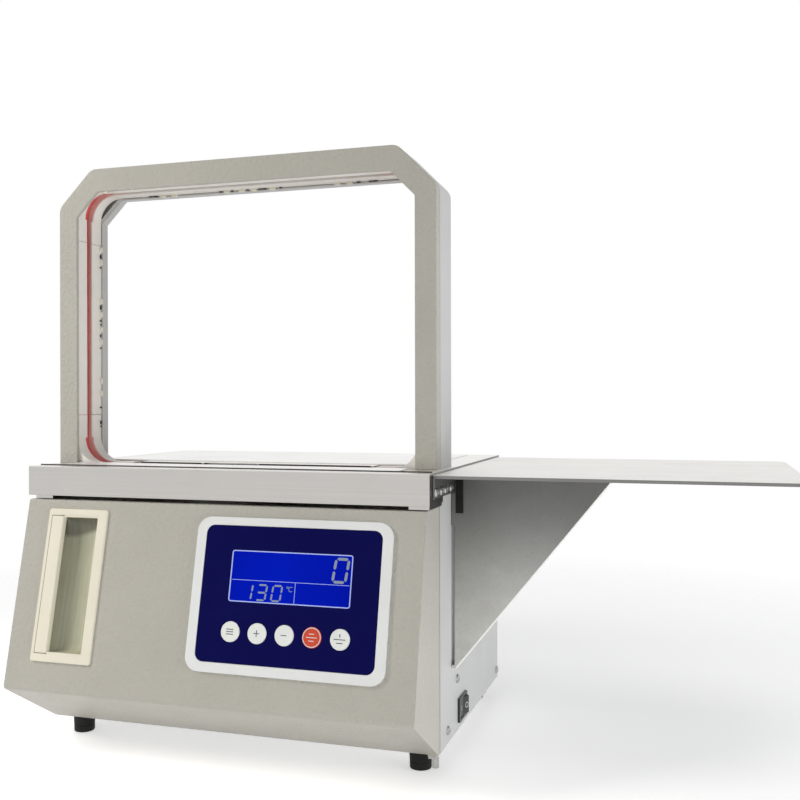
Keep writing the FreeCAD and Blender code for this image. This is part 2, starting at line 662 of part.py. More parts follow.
def make_lower_guides():
    """Open channels under the deck that carry the tape from the arch to the sealing head."""
    floor, top = "deck_top - guide_thick", "deck_top - panel_sheet - 0.2"
    runs = {
        "left": ("arch_centre - arch_width / 2 + arch_leg + guide_turn + guide_leg - guide_recess + 0.5",
                 "head_across - 32"),
        "right": ("head_across + 32",
                  "arch_centre + arch_width / 2 - arch_leg - guide_turn - guide_leg + guide_recess - 0.5"),
    }
    front, rear = "-tape_line - channel_width / 2", "-tape_line + channel_width / 2"
    bed = "deck_top - flap - channel_depth"
    section = [
        (front + " - 6", floor), (rear + " + 6", floor), (rear + " + 6", top), (rear, top),
        (rear, bed), (front, bed), (front, top), (front + " - 6", top),
    ]
    for side, (low, high) in runs.items():
        slab("lower_guide_" + side, "YZ", section, low, high)


# Extension table on the right, with its two gussets

def make_extension_table():
    corner = rectangle("table_left", "table_right", "-table_front", "table_rear")
    body = slab("extension_table", "XY", corner, "table_top - table_thick", "table_top")
    round_edges(body, "12", "Z", [("table_right", "-table_front"), ("table_right", "table_rear")])
    flange = rectangle("table_left", "table_left + 1.5", "-table_front", "-gusset_line - 0.2")
    add(body, "XY", outline, flange, "table_top - table_flange", "table_top - table_thick + 0.5")
    stiffener = rectangle("table_left + 190", "table_left + 205", "-table_front + 85", "table_rear - 20")
    add(body, "XY", outline, stiffener, "table_top - table_thick - 6", "table_top - table_thick + 0.5")
    holes = [("-%d" % place, "table_top - table_screw", "2.1") for place in TABLE_SCREWS]
    take(body, "YZ", circles, holes, "table_left - 1", "table_left + 2")


def make_gusset(label, front, less):
    """A folded triangle: web, top flange, slanted flange, and a side flange on the wall that stands
    back behind the slit between web and wall. Two bridges join the side flange to the web. less is
    taken off its reach and its height."""
    foot, reach = "gusset_foot + " + less, "gusset_reach - " + less
    rear = "%s + gusset_sheet" % front
    back = "%s + gusset_flange" % front
    wall = "body_width / 2 + 0.1"
    edge = wall + " + gusset_gap"
    top = "table_top - table_thick - 0.1"
    web = [(edge, foot), (edge + " + 1", foot), (reach, top + " - 5"), (reach, top), (edge, top)]
    body = slab(label, "XZ", web, front, rear)
    bridge_top = "deck_top - side_skirt - 3"
    add(body, "XZ", outline, rectangle(wall, edge + " + 1", "gap_top", bridge_top), front, back)
    add(body, "XZ", outline, rectangle(wall, edge + " + 1", foot, foot + " + 3"), front, back)
    side = rectangle(wall, wall + " + gusset_sheet", back + " - 1", back + " + 16")
    add(body, "XY", outline, side, foot, bridge_top)
    shelf = rectangle(edge + " + 1", reach, front, "%s + 18" % front)
    add(body, "XY", outline, shelf, top + " - gusset_sheet", top)
    slant = [(edge + " + 1", foot), (reach, top + " - 5"), (reach + " - 1.9", top + " - 5"),
             (edge + " + 1", foot + " + 2.4")]
    add(body, "XZ", outline, slant, front, back)


def make_gussets():
    make_gusset("gusset_front", "-gusset_line", "0")
    make_gusset("gusset_rear", "gusset_line", "gusset_less")
    pads = []
    for index, line in enumerate(("-gusset_line", "gusset_line")):
        pads.append(block("gusset_pad_%d" % index, "table_left + 2.5", "table_left + 10",
                          line + " - 1.6", line + " - 0.1", "table_top - 43", "table_top - 10"))
    keep("gusset_pads", group("gusset_pads", pads))


# Feet, screws, switch and inlet

def make_feet():
    feet = []
    for index, (side, end) in enumerate((("-", "-"), ("", "-"), ("-", ""), ("", ""))):
        foot = fresh("foot_%d" % index, "Part::Cone")
        foot.setExpression("Radius1", bound("foot_radius"))
        foot.setExpression("Radius2", bound("foot_radius + 0.8"))
        foot.setExpression("Height", bound("base_bottom - 0.1"))
        foot.setExpression("Placement.Base.x", bound(side + "foot_across"))
        foot.setExpression("Placement.Base.y", bound(end + "foot_along"))
        feet.append(foot)
    keep("rubber_feet", group("rubber_feet", feet))


def round_screw(label, spot, surface, side):
    """A round head on a panel that faces +X or -X, with a short shank. The head is a ball that the
    panel's plane cuts."""
    rise = "screw_radius * 0.62"
    ball = fresh(label + "_ball", "Part::Sphere")
    ball.setExpression("Radius", bound("screw_radius * 1.12"))
    sunk = "%s %s (%s - screw_radius * 1.12)" % (surface, side, rise)
    ball.setExpression("Placement.Base.x", bound(sunk))
    ball.setExpression("Placement.Base.y", bound(spot[0]))
    ball.setExpression("Placement.Base.z", bound(spot[1]))
    ends = (surface, "%s + %s" % (surface, rise))
    shank = ("%s - 1.1" % surface, "%s + 0.5" % surface)
    if side == "-":
        ends = ("%s - %s" % (surface, rise), surface)
        shank = ("%s - 0.5" % surface, "%s + 1.1" % surface)
    clip = rod(label + "_clip", "X", spot, "screw_radius", *ends)
    head = fresh(label + "_head", "Part::Common")
    head.Base = ball
    head.Tool = clip
    return fuse(label, [head, rod(label + "_shank", "X", spot, "1.8", *shank)])


def make_screws():
    screws = []
    right, left = "body_width / 2 + 0.05", "-body_width / 2 - 0.05"
    for index, spot in enumerate(SIDE_SCREWS):
        screws.append(round_screw("right_screw_%d" % index, spot, right, "+"))
        screws.append(round_screw("left_screw_%d" % index, spot, left, "-"))
    for index, place in enumerate(TABLE_SCREWS):
        spot = ("-%d" % place, "table_top - table_screw")
        screws.append(round_screw("table_screw_%d" % index, spot, "table_left + 1.55", "+"))
    keep("round_head_screws", group("round_head_screws", screws))


def make_switch():
    face = "body_width / 2"
    front, rear = "-switch_centre - switch_length / 2", "-switch_centre + switch_length / 2"
    low, high = "switch_height - switch_tall / 2", "switch_height + switch_tall / 2"
    frame = slab("switch_frame", "YZ", rectangle(front, rear, low, high), face + " + 0.05", face + " + 2.4")
    round_edges(frame, "1.5", "X", [(front, low), (front, high), (rear, low), (rear, high)])
    add(frame, "YZ", outline, rectangle("-switch_centre - 14.5", "-switch_centre + 14.5",
                                        "switch_height - 10.5", "switch_height + 10.5"),
        face + " - 22", face + " + 1")
    take(frame, "YZ", outline, rectangle("-switch_centre - rocker_swing - 0.6",
                                         "-switch_centre + rocker_swing + 0.6",
                                         "switch_height - 9.6", "switch_height + 9.6"),
         face + " - 19", face + " + 2.4")

    # The rocker is a disc about its own axis, cut by a shallow V so that one half stands proud.
    pivot = face + " - 2"
    disc = rod("rocker_disc", "Z", (pivot, "-switch_centre"), "rocker_swing", "switch_height - 9.2",
               "switch_height + 9.2")
    wedge = fresh("rocker_wedge", "PartDesign::Body")
    top = [(pivot + " - 8", "-switch_centre - 14"), (face + " + 1.8", "-switch_centre - 14"),
           (face + " + 1.8", "-switch_centre"), (face + " + 6.6", "-switch_centre + 14"),
           (pivot + " - 8", "-switch_centre + 14")]
    add(wedge, "XY", outline, top, "switch_height - 9.2", "switch_height + 9.2")
    rocker = fresh("switch_rocker", "Part::Common")
    rocker.Base = disc
    rocker.Tool = wedge
    keep("switch_rocker", rocker)


def make_power_inlet():
    across, height = "inlet_across", "inlet_height"
    body = slab("power_inlet", "XZ",
                rectangle(across + " - 25", across + " + 25", height + " - 11.5", height + " + 11.5"),
                "body_rear + 0.05", "body_rear + 3")
    add(body, "XZ", outline,
        rectangle(across + " - 13.7", across + " + 13.7", height + " - 10", height + " + 10"),
        "body_rear - 18", "body_rear + 1")
    mouth = [(across + " - 12", height + " - 8.4"), (across + " + 12", height + " - 8.4"),
             (across + " + 12", height + " + 3.4"), (across + " + 7", height + " + 8.4"),
             (across + " - 7", height + " + 8.4"), (across + " - 12", height + " + 3.4")]
    take(body, "XZ", outline, mouth, "body_rear - 14", "body_rear + 3")
    for pin, (x, z) in enumerate((("- 7", "- 2"), ("", "+ 4"), ("+ 7", "- 2"))):
        middle, level = "%s %s" % (across, x), "%s %s" % (height, z)
        add(body, "XZ", outline,
            rectangle(middle + " - 1", middle + " + 1", level + " - 2", level + " + 2"),
            "body_rear - 15", "body_rear - 3")


# Front door, drawn in the machine's frame, and the pieces that lie on its leaning face

def door_profile(inset, rear):
    """The door seen from the side. inset is the distance to the outer face."""
    slant = "0.2 * (%s)" % inset
    return [
        (rear, "door_top - (%s)" % inset), ("-door_top_front + %s" % inset, "door_top - (%s)" % inset),
        ("-door_bend_front + %s" % inset, "door_bend_top + %s" % slant),
        ("-door_foot_front", "door_foot + %s" % inset), (rear, "door_foot + %s" % inset),
    ]


def face_cut(body, left, right, drop, height):
    """A rectangular hole through the door's leaning face."""
    sketch = outline(body, "XZ", rectangle(left, right, "-(%s) - (%s)" % (drop, height), "-(%s)" % drop), "0")
    lean = FreeCAD.Rotation(FreeCAD.Vector(1, 0, 0), 10)
    sketch.AttachmentOffset = FreeCAD.Placement(FreeCAD.Vector(), lean)
    sketch.setExpression("AttachmentOffset.Base.y", bound("door_top"))
    sketch.setExpression("AttachmentOffset.Base.z", bound("door_top_front"))
    sketch.setExpression("AttachmentOffset.Rotation.Angle", bound("-door_tilt"))
    DOCUMENT.recompute()
    before = body.Shape.Volume
    hole = body.newObject("PartDesign::Pocket", body.Name + "_face_cut")
    hole.Profile = sketch
    hole.Midplane = True
    hole.Length = 12
    DOCUMENT.recompute()
    if body.Shape.Volume > before - 1:
        raise RuntimeError("the door's face was not cut")


def make_door_shell():
    half = "body_width / 2"
    body = slab("door_shell", "YZ", door_profile("0", "-door_rear"), "-(%s)" % half, half)
    side_lines = [("-door_top_front", "door_top"), ("-door_bend_front", "door_bend_top")]
    round_edges(body, "5", "X", [side_lines[1]])
    round_edges(body, "2", "X", [side_lines[0]])
    take(body, "YZ", outline, door_profile("door_wall", "-door_rear + 1"),
         "-(%s) + door_wall" % half, half + " - door_wall")
    inner = half + " - door_wall"
    flange = rectangle("-(%s)" % inner, "-(%s) + 14" % inner, "-door_rear - door_wall", "-door_rear")
    add(body, "XY", outline, flange, "door_foot + 8", "door_top - 8")
    seat = rectangle("hinge_across - 6", inner, "-hinge_front - 7", "-door_rear - 0.1")
    add(body, "XY", outline, seat, "door_foot", "door_foot + 8")
    add(body, "XY", outline, seat, "door_top - 8", "door_top")
    bore = [("hinge_across", "-hinge_front", "pin_radius + 0.06")]
    take(body, "XY", circles, bore, "door_foot - 1", "door_top + 1")
    face_cut(body, "cup_left - 3", "cup_right + 3", "cup_drop - 3", "cup_height + 6")
    face_cut(body, "panel_centre - overlay_width / 2", "panel_centre + overlay_width / 2",
             "overlay_drop", "overlay_height")


def face_rectangle(centre, width, drop, height):
    half = "(%s) / 2" % width
    return rectangle("%s - %s" % (centre, half), "%s + %s" % (centre, half),
                     "-(%s) - (%s)" % (drop, height), "-(%s)" % drop)


def make_pull_cup():
    body = new_body("pull_cup")
    edge = face_rectangle("pull_centre", "pull_width", "pull_drop", "pull_height")
    add(body, "XY", outline, edge, "0.1", "2.8")
    round_edges(body, "2.5", "Z", edge)
    shell = rectangle("cup_left - 2", "cup_right + 2", "-cup_drop - cup_height - 2", "-cup_drop + 2")
    add(body, "XY", outline, shell, "-cup_depth", "1")
    mouth = rectangle("cup_left", "cup_right", "-cup_drop - cup_height", "-cup_drop")
    take(body, "XY", outline, mouth, "-cup_depth + 2", "2.8")
    on_door_face(body)


def make_panel():
    bezel = new_body("panel_bezel")
    edge = face_rectangle("panel_centre", "panel_width", "panel_drop", "panel_height")
    add(bezel, "XY", outline, edge, "0.1", "panel_proud")
    round_edges(bezel, "panel_round", "Z", edge)
    pit = face_rectangle("panel_centre", "overlay_width", "overlay_drop", "overlay_height")
    take(bezel, "XY", outline, pit, "1.8", "panel_proud")
    round_edges(bezel, "overlay_round + 0.3", "Z", pit)
    screen = face_rectangle("panel_centre + 1", "screen_width", "screen_drop", "screen_height")
    take(bezel, "XY", outline, screen, "0", "1.8")
    caps = []
    for step in range(-2, 3):
        caps.append(("panel_centre + %d * button_pitch" % step, "-button_drop", "button_radius + 0.5"))
    take(bezel, "XY", circles, caps, "0", "1.8")
    on_door_face(bezel)

    overlay = new_body("panel_overlay")
    film = face_rectangle("panel_centre", "overlay_width - 0.6", "overlay_drop + 0.3", "overlay_height - 0.6")
    add(overlay, "XY", outline, film, "1.85", "2.7")
    round_edges(overlay, "overlay_round", "Z", film)
    take(overlay, "XY", outline, screen, "1.8", "2.7")
    take(overlay, "XY", circles, caps, "1.8", "2.7")
    on_door_face(overlay)

    window = new_body("display_window")
    glass = face_rectangle("panel_centre + 1", "screen_width - 0.6",
                           "screen_drop + 0.3", "screen_height - 0.6")
    add(window, "XY", outline, glass, "-6", "2.3")
    on_door_face(window)

    board = new_body("panel_board")
    area = face_rectangle("panel_centre", "overlay_width - 14", "overlay_drop + 7", "overlay_height - 14")
    add(board, "XY", outline, area, "-8", "-6.2")
    chip = face_rectangle("panel_centre - 40", "18", "75", "18")
    add(board, "XY", outline, chip, "-11", "-7.5")
    plug = face_rectangle("panel_centre + 40", "26", "55", "9")
    add(board, "XY", outline, plug, "-17", "-7.5")
    on_door_face(board)


def make_buttons():
    """Five round caps, each with a flange behind the bezel so that it can't fall out."""
    for step, name in zip(range(-2, 3), ("menu", "plus", "minus", "reset", "mode")):
        across = "panel_centre + %d * button_pitch" % step
        body = new_body("button_" + name)
        cap = [(across, "-button_drop", "button_radius")]
        add(body, "XY", circles, cap, "-1.6", "panel_proud + button_travel + 0.1")
        add(body, "XY", circles, [(across, "-button_drop", "button_radius + 1.6")], "-2.6", "-1.2")
        on_door_face(body)


def make_door_fittings():
    spot = ("hinge_across", "-hinge_front")
    low = fuse("lower_pin", [
        rod("lower_shaft", "Z", spot, "pin_radius", "base_bottom - 3", "door_foot + 7.5"),
        rod("lower_head", "Z", spot, "3.2", "base_bottom - 12", "base_bottom - 2.6"),
    ])
    high = fuse("upper_pin", [
        rod("upper_shaft", "Z", spot, "pin_radius", "door_top - 7.5", "deck_top - skirt + 1"),
        rod("upper_head", "Z", spot, "3.2", "deck_top - skirt + 0.1", "deck_top - skirt + 4"),
    ])
    keep("door_pivot_pins", group("door_pivot_pins", [low, high]))
    catch = slab("door_catch", "XY",
                 rectangle("-body_width / 2 + panel_sheet + 0.1", "-body_width / 2 + panel_sheet + 15",
                           "-door_rear + 1.8", "-door_rear + 22"), "catch_low", "catch_low + catch_tall")
    pit = rectangle("-body_width / 2 + 6", "-body_width / 2 + 12", "-door_rear + 1", "-door_rear + 2.6")
    take(catch, "XY", outline, pit, "catch_low + 5", "catch_low + catch_tall - 5")


# Tape reel: spindle, hub with its rear flange, clamp with its knob, and the roll

def make_reel():
    spot = ("reel_across", "reel_height")
    roll_front, roll_rear = "-tape_line - tape_width / 2", "-tape_line + tape_width / 2"
    spindle = new_body("reel_spindle")
    add(spindle, "XZ", circles, [spot + ("spindle_radius",)], roll_front + " - 2.5", "-chassis_front")
    add(spindle, "XZ", circles, [spot + ("15",)], "-chassis_front - 8", "-chassis_front")

    hub = new_body("reel_hub")
    add(hub, "XZ", circles, [spot + ("core_radius",)], roll_front + " + 0.5", roll_rear + " + 2")
    add(hub, "XZ", circles, [spot + ("roll_radius + 4",)], roll_rear + " + 0.3", roll_rear + " + 3.3")
    take(hub, "XZ", circles, [spot + ("spindle_radius + 0.08",)], roll_front, roll_rear + " + 4")
    windows = []
    for turn in range(6):
        angle = math.radians(60 * turn)
        windows.append(("reel_across + %.4f * 19" % math.cos(angle),
                        "reel_height + %.4f * 19" % math.sin(angle), "5"))
    take(hub, "XZ", circles, windows, roll_front, roll_rear + " + 4")

    roll = new_body("tape_roll")
    add(roll, "XZ", circles, [spot + ("roll_radius",)], roll_front, roll_rear)
    take(roll, "XZ", circles, [spot + ("core_radius + 0.2",)], roll_front, roll_rear)

    clamp = new_body("reel_clamp")
    add(clamp, "XZ", circles, [spot + ("roll_radius - 8",)], roll_front + " - 3.3", roll_front + " - 0.3")
    add(clamp, "XZ", circles, [spot + ("16",)], roll_front + " - 17", roll_front + " - 3")
    take(clamp, "XZ", circles, [spot + ("spindle_radius + 0.08",)], roll_front + " - 5", roll_front)
    arms = []
    for turn in range(3):
        angle = math.radians(120 * turn + 90)
        arms.append(("reel_across + %.4f * 40" % math.cos(angle),
                     "reel_height + %.4f * 40" % math.sin(angle), "14"))
    take(clamp, "XZ", circles, arms, roll_front + " - 4", roll_front)


# Feed rollers, tension arm and their motor

def make_feed():
    tape_front, tape_rear = "-tape_line - tape_width / 2", "-tape_line + tape_width / 2"
    feed_spot = ("feed_across", "feed_height")
    pinch_spot = ("feed_across + feed_radius + pinch_radius + roller_gap", "feed_height")
    feed = new_body("feed_roller")
    add(feed, "XZ", circles, [feed_spot + ("4.2",)], tape_front + " - 6", "-chassis_front + 16")
    add(feed, "XZ", circles, [feed_spot + ("feed_radius",)], tape_front, tape_rear)
    pinch = new_body("pinch_roller")
    add(pinch, "XZ", circles, [pinch_spot + ("3.2",)], tape_front + " - 6", "-chassis_front + 8")
    add(pinch, "XZ", circles, [pinch_spot + ("pinch_radius",)], tape_front, tape_rear)

    motor = new_body("feed_motor")
    case = rectangle("feed_across - 21", "feed_across + 21", "feed_height - 21", "feed_height + 21")
    add(motor, "XZ", outline, case, "-chassis_front + chassis_thick + 5", "-chassis_front + 50")
    round_edges(motor, "4", "Y", case)
    posts = []
    for side in ("-", "+"):
        for end in ("-", "+"):
            posts.append(("feed_across %s 15.5" % side, "feed_height %s 15.5" % end, "3"))
    add(motor, "XZ", circles, posts, "-chassis_front + chassis_thick", "-chassis_front + chassis_thick + 6")
    take(motor, "XZ", circles, [feed_spot + ("4.28",)], "-chassis_front + chassis_thick + 5",
         "-chassis_front + 18")

    # The arm is drawn along X from its pivot and then lowered to its rest angle.
    shaft_spot = ("0", "0", "4.2")
    arm = new_body("tension_arm")
    add(arm, "XZ", circles, [shaft_spot], "-chassis_front - 12", "-chassis_front + 8")
    add(arm, "XZ", circles, [("0", "0", "9")], "-chassis_front - 12", "-chassis_front - 8")
    bar = rectangle("0", "arm_length", "-6", "6")
    add(arm, "XZ", outline, bar, "-chassis_front - 12", "-chassis_front - 8")
    add(arm, "XZ", circles, [("arm_length", "0", "6")], "-chassis_front - 12", "-chassis_front - 8")
    add(arm, "XZ", circles, [("arm_length", "0", "3")], tape_front + " - 3", "-chassis_front - 10")
    roller = new_body("tension_roller")
    add(roller, "XZ", circles, [("arm_length", "0", "arm_roller")], tape_front, tape_rear)
    take(roller, "XZ", circles, [("arm_length", "0", "3.08")], tape_front, tape_rear)
    for piece in (arm, roller):
        spin = FreeCAD.Rotation(FreeCAD.Vector(0, 1, 0), 30)
        piece.Placement = FreeCAD.Placement(FreeCAD.Vector(), spin)
        piece.setExpression("Placement.Base.x", bound("arm_across"))
        piece.setExpression("Placement.Base.z", bound("arm_height"))


# Sealing head: anvil, two grippers, press, heater, the block that guides them, and the cam shaft

def make_head():
    front, rear = "-tape_line - 10.5", "-tape_line + 10.5"
    floor = "cam_height + cam_radius + cam_throw + 1"
    columns = {
        "press_block": ("head_across - 12", "head_across + 12", "press_top"),
        "gripper_left": ("head_across - 30", "head_across - 14", "gripper_top"),
        "gripper_right": ("head_across + 14", "head_across + 30", "gripper_top"),
    }
    for label, (left, right, top) in columns.items():
        body = slab(label, "XY", rectangle(left, right, front, rear), floor, top)
        groove = rectangle(left + " - 1", right + " + 1", top + " - 1", top)
        take(body, "XZ", outline, groove, "-tape_line - 1", "-tape_line + 1")

    wall_front, wall_rear = "-tape_line - 17", "-chassis_front - 0.1"
    casting = rectangle("head_across - 38", "head_across + 38", wall_front, wall_rear)
    block_body = slab("head_block", "XY", casting, "block_low", "block_top")
    for left, right, top in columns.values():
        shaft_room = rectangle(left + " - 0.3", right + " + 0.3", front + " - 0.3", rear + " + 0.3")
        take(block_body, "XY", outline, shaft_room, "block_low", "block_top")

    anvil = slab("anvil_plate", "XY",
                 rectangle("head_across - 28", "head_across + 28", "-tape_line - 12", "-tape_line + 35"),
                 "deck_top - 4.9", "deck_top - 1.6")
    take(anvil, "XY", outline,
         rectangle("head_across - 20", "head_across + 20", "-tape_line + 26", "-tape_line + 31"),
         "deck_top - 4.9", "deck_top - 1.6")
    heater = slab("heater_blade", "XY",
                  rectangle("head_across - 10", "head_across + 10", "-tape_line + 12", "-tape_line + 58"),
                  "blade_low", "blade_low + blade_thick")
    add(heater, "XY", outline,
        rectangle("head_across - 13", "head_across + 13", "-tape_line + 36", "-tape_line + 58"),
        "holder_low", "holder_top")

    spot = ("head_across", "cam_height")
    shaft = new_body("cam_shaft")
    add(shaft, "XZ", circles, [spot + ("6.2",)], "-tape_line - 14", "-chassis_front + 16")
    for index, angle in enumerate((90, 210, 330)):
        turn = math.radians(angle)
        centre = ("head_across + %.4f * cam_throw" % math.cos(turn),
                  "cam_height + %.4f * cam_throw" % math.sin(turn), "cam_radius")
        start = "-tape_line - 10 + %d" % (7 * index)
        add(shaft, "XZ", circles, [centre], start, start + " + 5")

    motor = new_body("cam_motor")
    add(motor, "XZ", circles, [spot + ("30",)], "-chassis_front + chassis_thick", "-chassis_front + 34")
    add(motor, "XZ", circles, [("head_across", "cam_height - 8", "24")], "-chassis_front + 34",
        "-chassis_front + 96")
    take(motor, "XZ", circles, [spot + ("6.28",)], "-chassis_front + chassis_thick", "-chassis_front + 20")


def make_control_board():
    """The board on its four posts, with a transformer, two capacitors' case, a relay and a heat sink."""
    board = rectangle("-190", "-60", "0", "110")
    body = slab("control_board", "XY", board, "base_bottom + 9", "base_bottom + 10.6")
    posts = [(x, y, "3") for x in ("-184", "-66") for y in ("6", "104")]
    add(body, "XY", circles, posts, "base_bottom + 1.3", "base_bottom + 9.5")
    components = [
        ("-180", "-140", "20", "55", "30"), ("-130", "-110", "20", "45", "24"),
        ("-100", "-70", "20", "40", "18"), ("-178", "-150", "70", "95", "16"),
    ]
    for left, right, near, far, tall in components:
        case = rectangle(left, right, near, far)
        add(body, "XY", outline, case, "base_bottom + 10", "base_bottom + 10 + " + tall)


def check_and_write():
    """Stop on a failed object or a bad shape, then write one file for each node."""
    DOCUMENT.recompute()
    for thing in DOCUMENT.Objects:
        if "Invalid" in thing.State or "Error" in thing.State:
            raise RuntimeError("%s failed: %s" % (thing.Label, thing.State))
    os.makedirs("parts", exist_ok=True)
    for label, piece in NODES.items():
        shape = piece.Shape
        if shape.isNull() or not shape.isValid() or not shape.Solids:
            raise RuntimeError(label + " has no valid solid")
        shape.exportStep("parts/%s.step" % label)
    print("%d nodes written" % len(NODES))


make_base_pan()
make_side_panel("side_panel_left", -1)
make_side_panel("side_panel_right", 1)
make_rear_panel()
make_chassis_plate()
make_deck_tray()
make_table_plates()
make_arch_covers()
make_guides()
make_guide_liner()
make_lower_guides()
make_extension_table()
make_gussets()
make_feet()
make_screws()
make_switch()
make_power_inlet()
make_door_shell()
make_pull_cup()
make_panel()
make_buttons()
make_door_fittings()
make_reel()
make_feed()
make_head()
make_control_board()
check_and_write()
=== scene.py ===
import json
import math

import bmesh
import bpy
import numpy as np
from bpy.props import FloatProperty, FloatVectorProperty, IntProperty, PointerProperty
from bpy.types import Operator, Panel, PropertyGroup
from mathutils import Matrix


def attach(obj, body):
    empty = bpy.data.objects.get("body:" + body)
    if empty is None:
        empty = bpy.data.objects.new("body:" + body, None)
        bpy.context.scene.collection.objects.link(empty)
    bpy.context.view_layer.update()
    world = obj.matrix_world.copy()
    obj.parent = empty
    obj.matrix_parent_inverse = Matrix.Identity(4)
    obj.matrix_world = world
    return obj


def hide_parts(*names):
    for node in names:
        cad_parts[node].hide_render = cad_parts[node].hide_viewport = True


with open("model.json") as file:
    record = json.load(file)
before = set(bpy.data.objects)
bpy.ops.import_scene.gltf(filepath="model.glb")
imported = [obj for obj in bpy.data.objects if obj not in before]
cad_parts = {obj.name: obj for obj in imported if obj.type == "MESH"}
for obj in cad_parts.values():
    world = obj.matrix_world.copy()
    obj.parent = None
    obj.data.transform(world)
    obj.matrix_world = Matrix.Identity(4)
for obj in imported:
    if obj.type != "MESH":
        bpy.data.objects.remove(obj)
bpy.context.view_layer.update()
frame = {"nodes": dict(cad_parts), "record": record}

bl_info = {
    "name": "Banknote strapping machine",
    "version": (1, 0, 0),
    "blender": (4, 5, 0),
    "location": "3D View > Sidebar > Strapper",
    "description": "Dresses the strapping machine's packed model with finishes and fine pieces",
    "category": "Object",
}

NODES = frame["nodes"]
MM = 0.001
ARCH_MIDDLE = -0.0055
REEL_AXIS = (-0.122, 0.110)
WHITE = (1.0, 1.0, 1.0)
GROUPS = {}
FINISHES = {}


# Sizes and colours that a user would change

class StrapperSizes(PropertyGroup):
    cap_dome: FloatProperty(
        name="Cap dome", description="Rise of a button's middle above its rim", default=0.0005, unit="LENGTH")
    mark_height: FloatProperty(
        name="Mark height", description="Thickness of the printed marks", default=0.00012, unit="LENGTH")
    trough_depth: FloatProperty(
        name="Pull depth", description="Depth of the pull's trough", default=0.0150, unit="LENGTH")
    edge_radius: FloatProperty(
        name="Sheet edge", description="Rounding of the sheet metal's edges", default=0.0004, unit="LENGTH")
    broad_radius: FloatProperty(
        name="Broad edge", description="Rounding of the gussets and of the arch's front frame",
        default=0.0011, unit="LENGTH")
    moulded_radius: FloatProperty(
        name="Moulded edge", description="Rounding of the moulded parts' edges", default=0.0009,
        unit="LENGTH")
    screw_steps: IntProperty(
        name="Screw detail", description="Grid lines across a screw head", default=33, min=9, max=65)


class StrapperColours(PropertyGroup):
    warm_paint: FloatVectorProperty(
        name="Warm paint", description="Textured paint of the door and of the arch's front",
        subtype="COLOR", size=3, default=(0.47, 0.45, 0.40))
    cool_paint: FloatVectorProperty(
        name="Cool paint", description="Smooth paint of the housing and of the arch's rear",
        subtype="COLOR", size=3, default=(0.54, 0.54, 0.53))
    cream: FloatVectorProperty(
        name="Cream plastic", description="The pull's frame and grip bar, and the clips",
        subtype="COLOR", size=3, default=(0.82, 0.78, 0.645))
    olive: FloatVectorProperty(
        name="Pull trough", description="Inside of the recessed pull",
        subtype="COLOR", size=3, default=(0.47, 0.465, 0.345))
    navy: FloatVectorProperty(
        name="Panel film", description="Printed film of the control panel",
        subtype="COLOR", size=3, default=(0.0045, 0.0045, 0.072))
    screen: FloatVectorProperty(
        name="Screen", description="Lit face of the display",
        subtype="COLOR", size=3, default=(0.0, 0.006, 0.44))
    liner: FloatVectorProperty(
        name="Liner", description="Liner behind the slit of the guides",
        subtype="COLOR", size=3, default=(0.68, 0.145, 0.145))


def sizes():
    return bpy.context.scene.strapper_sizes


def colours():
    return bpy.context.scene.strapper_colours


# Meshes from grids of points

def grid_faces(rows, columns, wrap_rows=False, wrap_columns=False):
    """Quads between neighbours of a rows x columns grid. A wrapped direction also joins its last
    line to its first."""
    row = np.arange(rows if wrap_rows else rows - 1)
    column = np.arange(columns if wrap_columns else columns - 1)
    i, j = np.meshgrid(row, column, indexing="ij")
    next_i, next_j = (i + 1) % rows, (j + 1) % columns
    quads = np.stack([i * columns + j, next_i * columns + j, next_i * columns + next_j,
                      i * columns + next_j], axis=-1)
    return quads.reshape(-1, 4)


def sheet_of(points, wrap_rows=False, wrap_columns=False):
    """A grid of points (rows, columns, 3) with its quads."""
    rows, columns = points.shape[:2]
    return points.reshape(-1, 3), grid_faces(rows, columns, wrap_rows, wrap_columns)


def joined(parts):
    """Several (points, quads) pairs as one pair."""
    offsets = np.cumsum([0] + [len(points) for points, quads in parts[:-1]])
    points = np.concatenate([points for points, quads in parts])
    quads = np.concatenate([quads + offset for (points_, quads), offset in zip(parts, offsets)])
    return points, quads


def in_metres(part):
    points, quads = part
    return points * MM, quads


def add_object(name, data):
    thing = bpy.data.objects.new(name, data)
    bpy.context.scene.collection.objects.link(thing)
    return thing


def make_piece(name, parts, finish, body, closed=True, sharp=40):
    """One object from a list of (points, quads) in metres. Doubled points are merged, which closes
    seams and poles, and then the normals of a closed form are turned outwards."""
    points, quads = joined(parts)
    mesh = bpy.data.meshes.new(name)
    mesh.from_pydata(points.tolist(), [], quads.tolist())
    shell = bmesh.new()
    shell.from_mesh(mesh)
    bmesh.ops.remove_doubles(shell, verts=shell.verts, dist=1e-7)
    bmesh.ops.dissolve_degenerate(shell, edges=shell.edges, dist=1e-8)
    if closed:
        bmesh.ops.recalc_face_normals(shell, faces=shell.faces)
    shell.to_mesh(mesh)
    shell.free()
    mesh.polygons.foreach_set("use_smooth", np.ones(len(mesh.polygons), dtype=bool))
    mesh.set_sharp_from_angle(angle=math.radians(sharp))
    mesh.materials.append(FINISHES[finish])
    piece = add_object(name, mesh)
    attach(piece, body)
    return piece


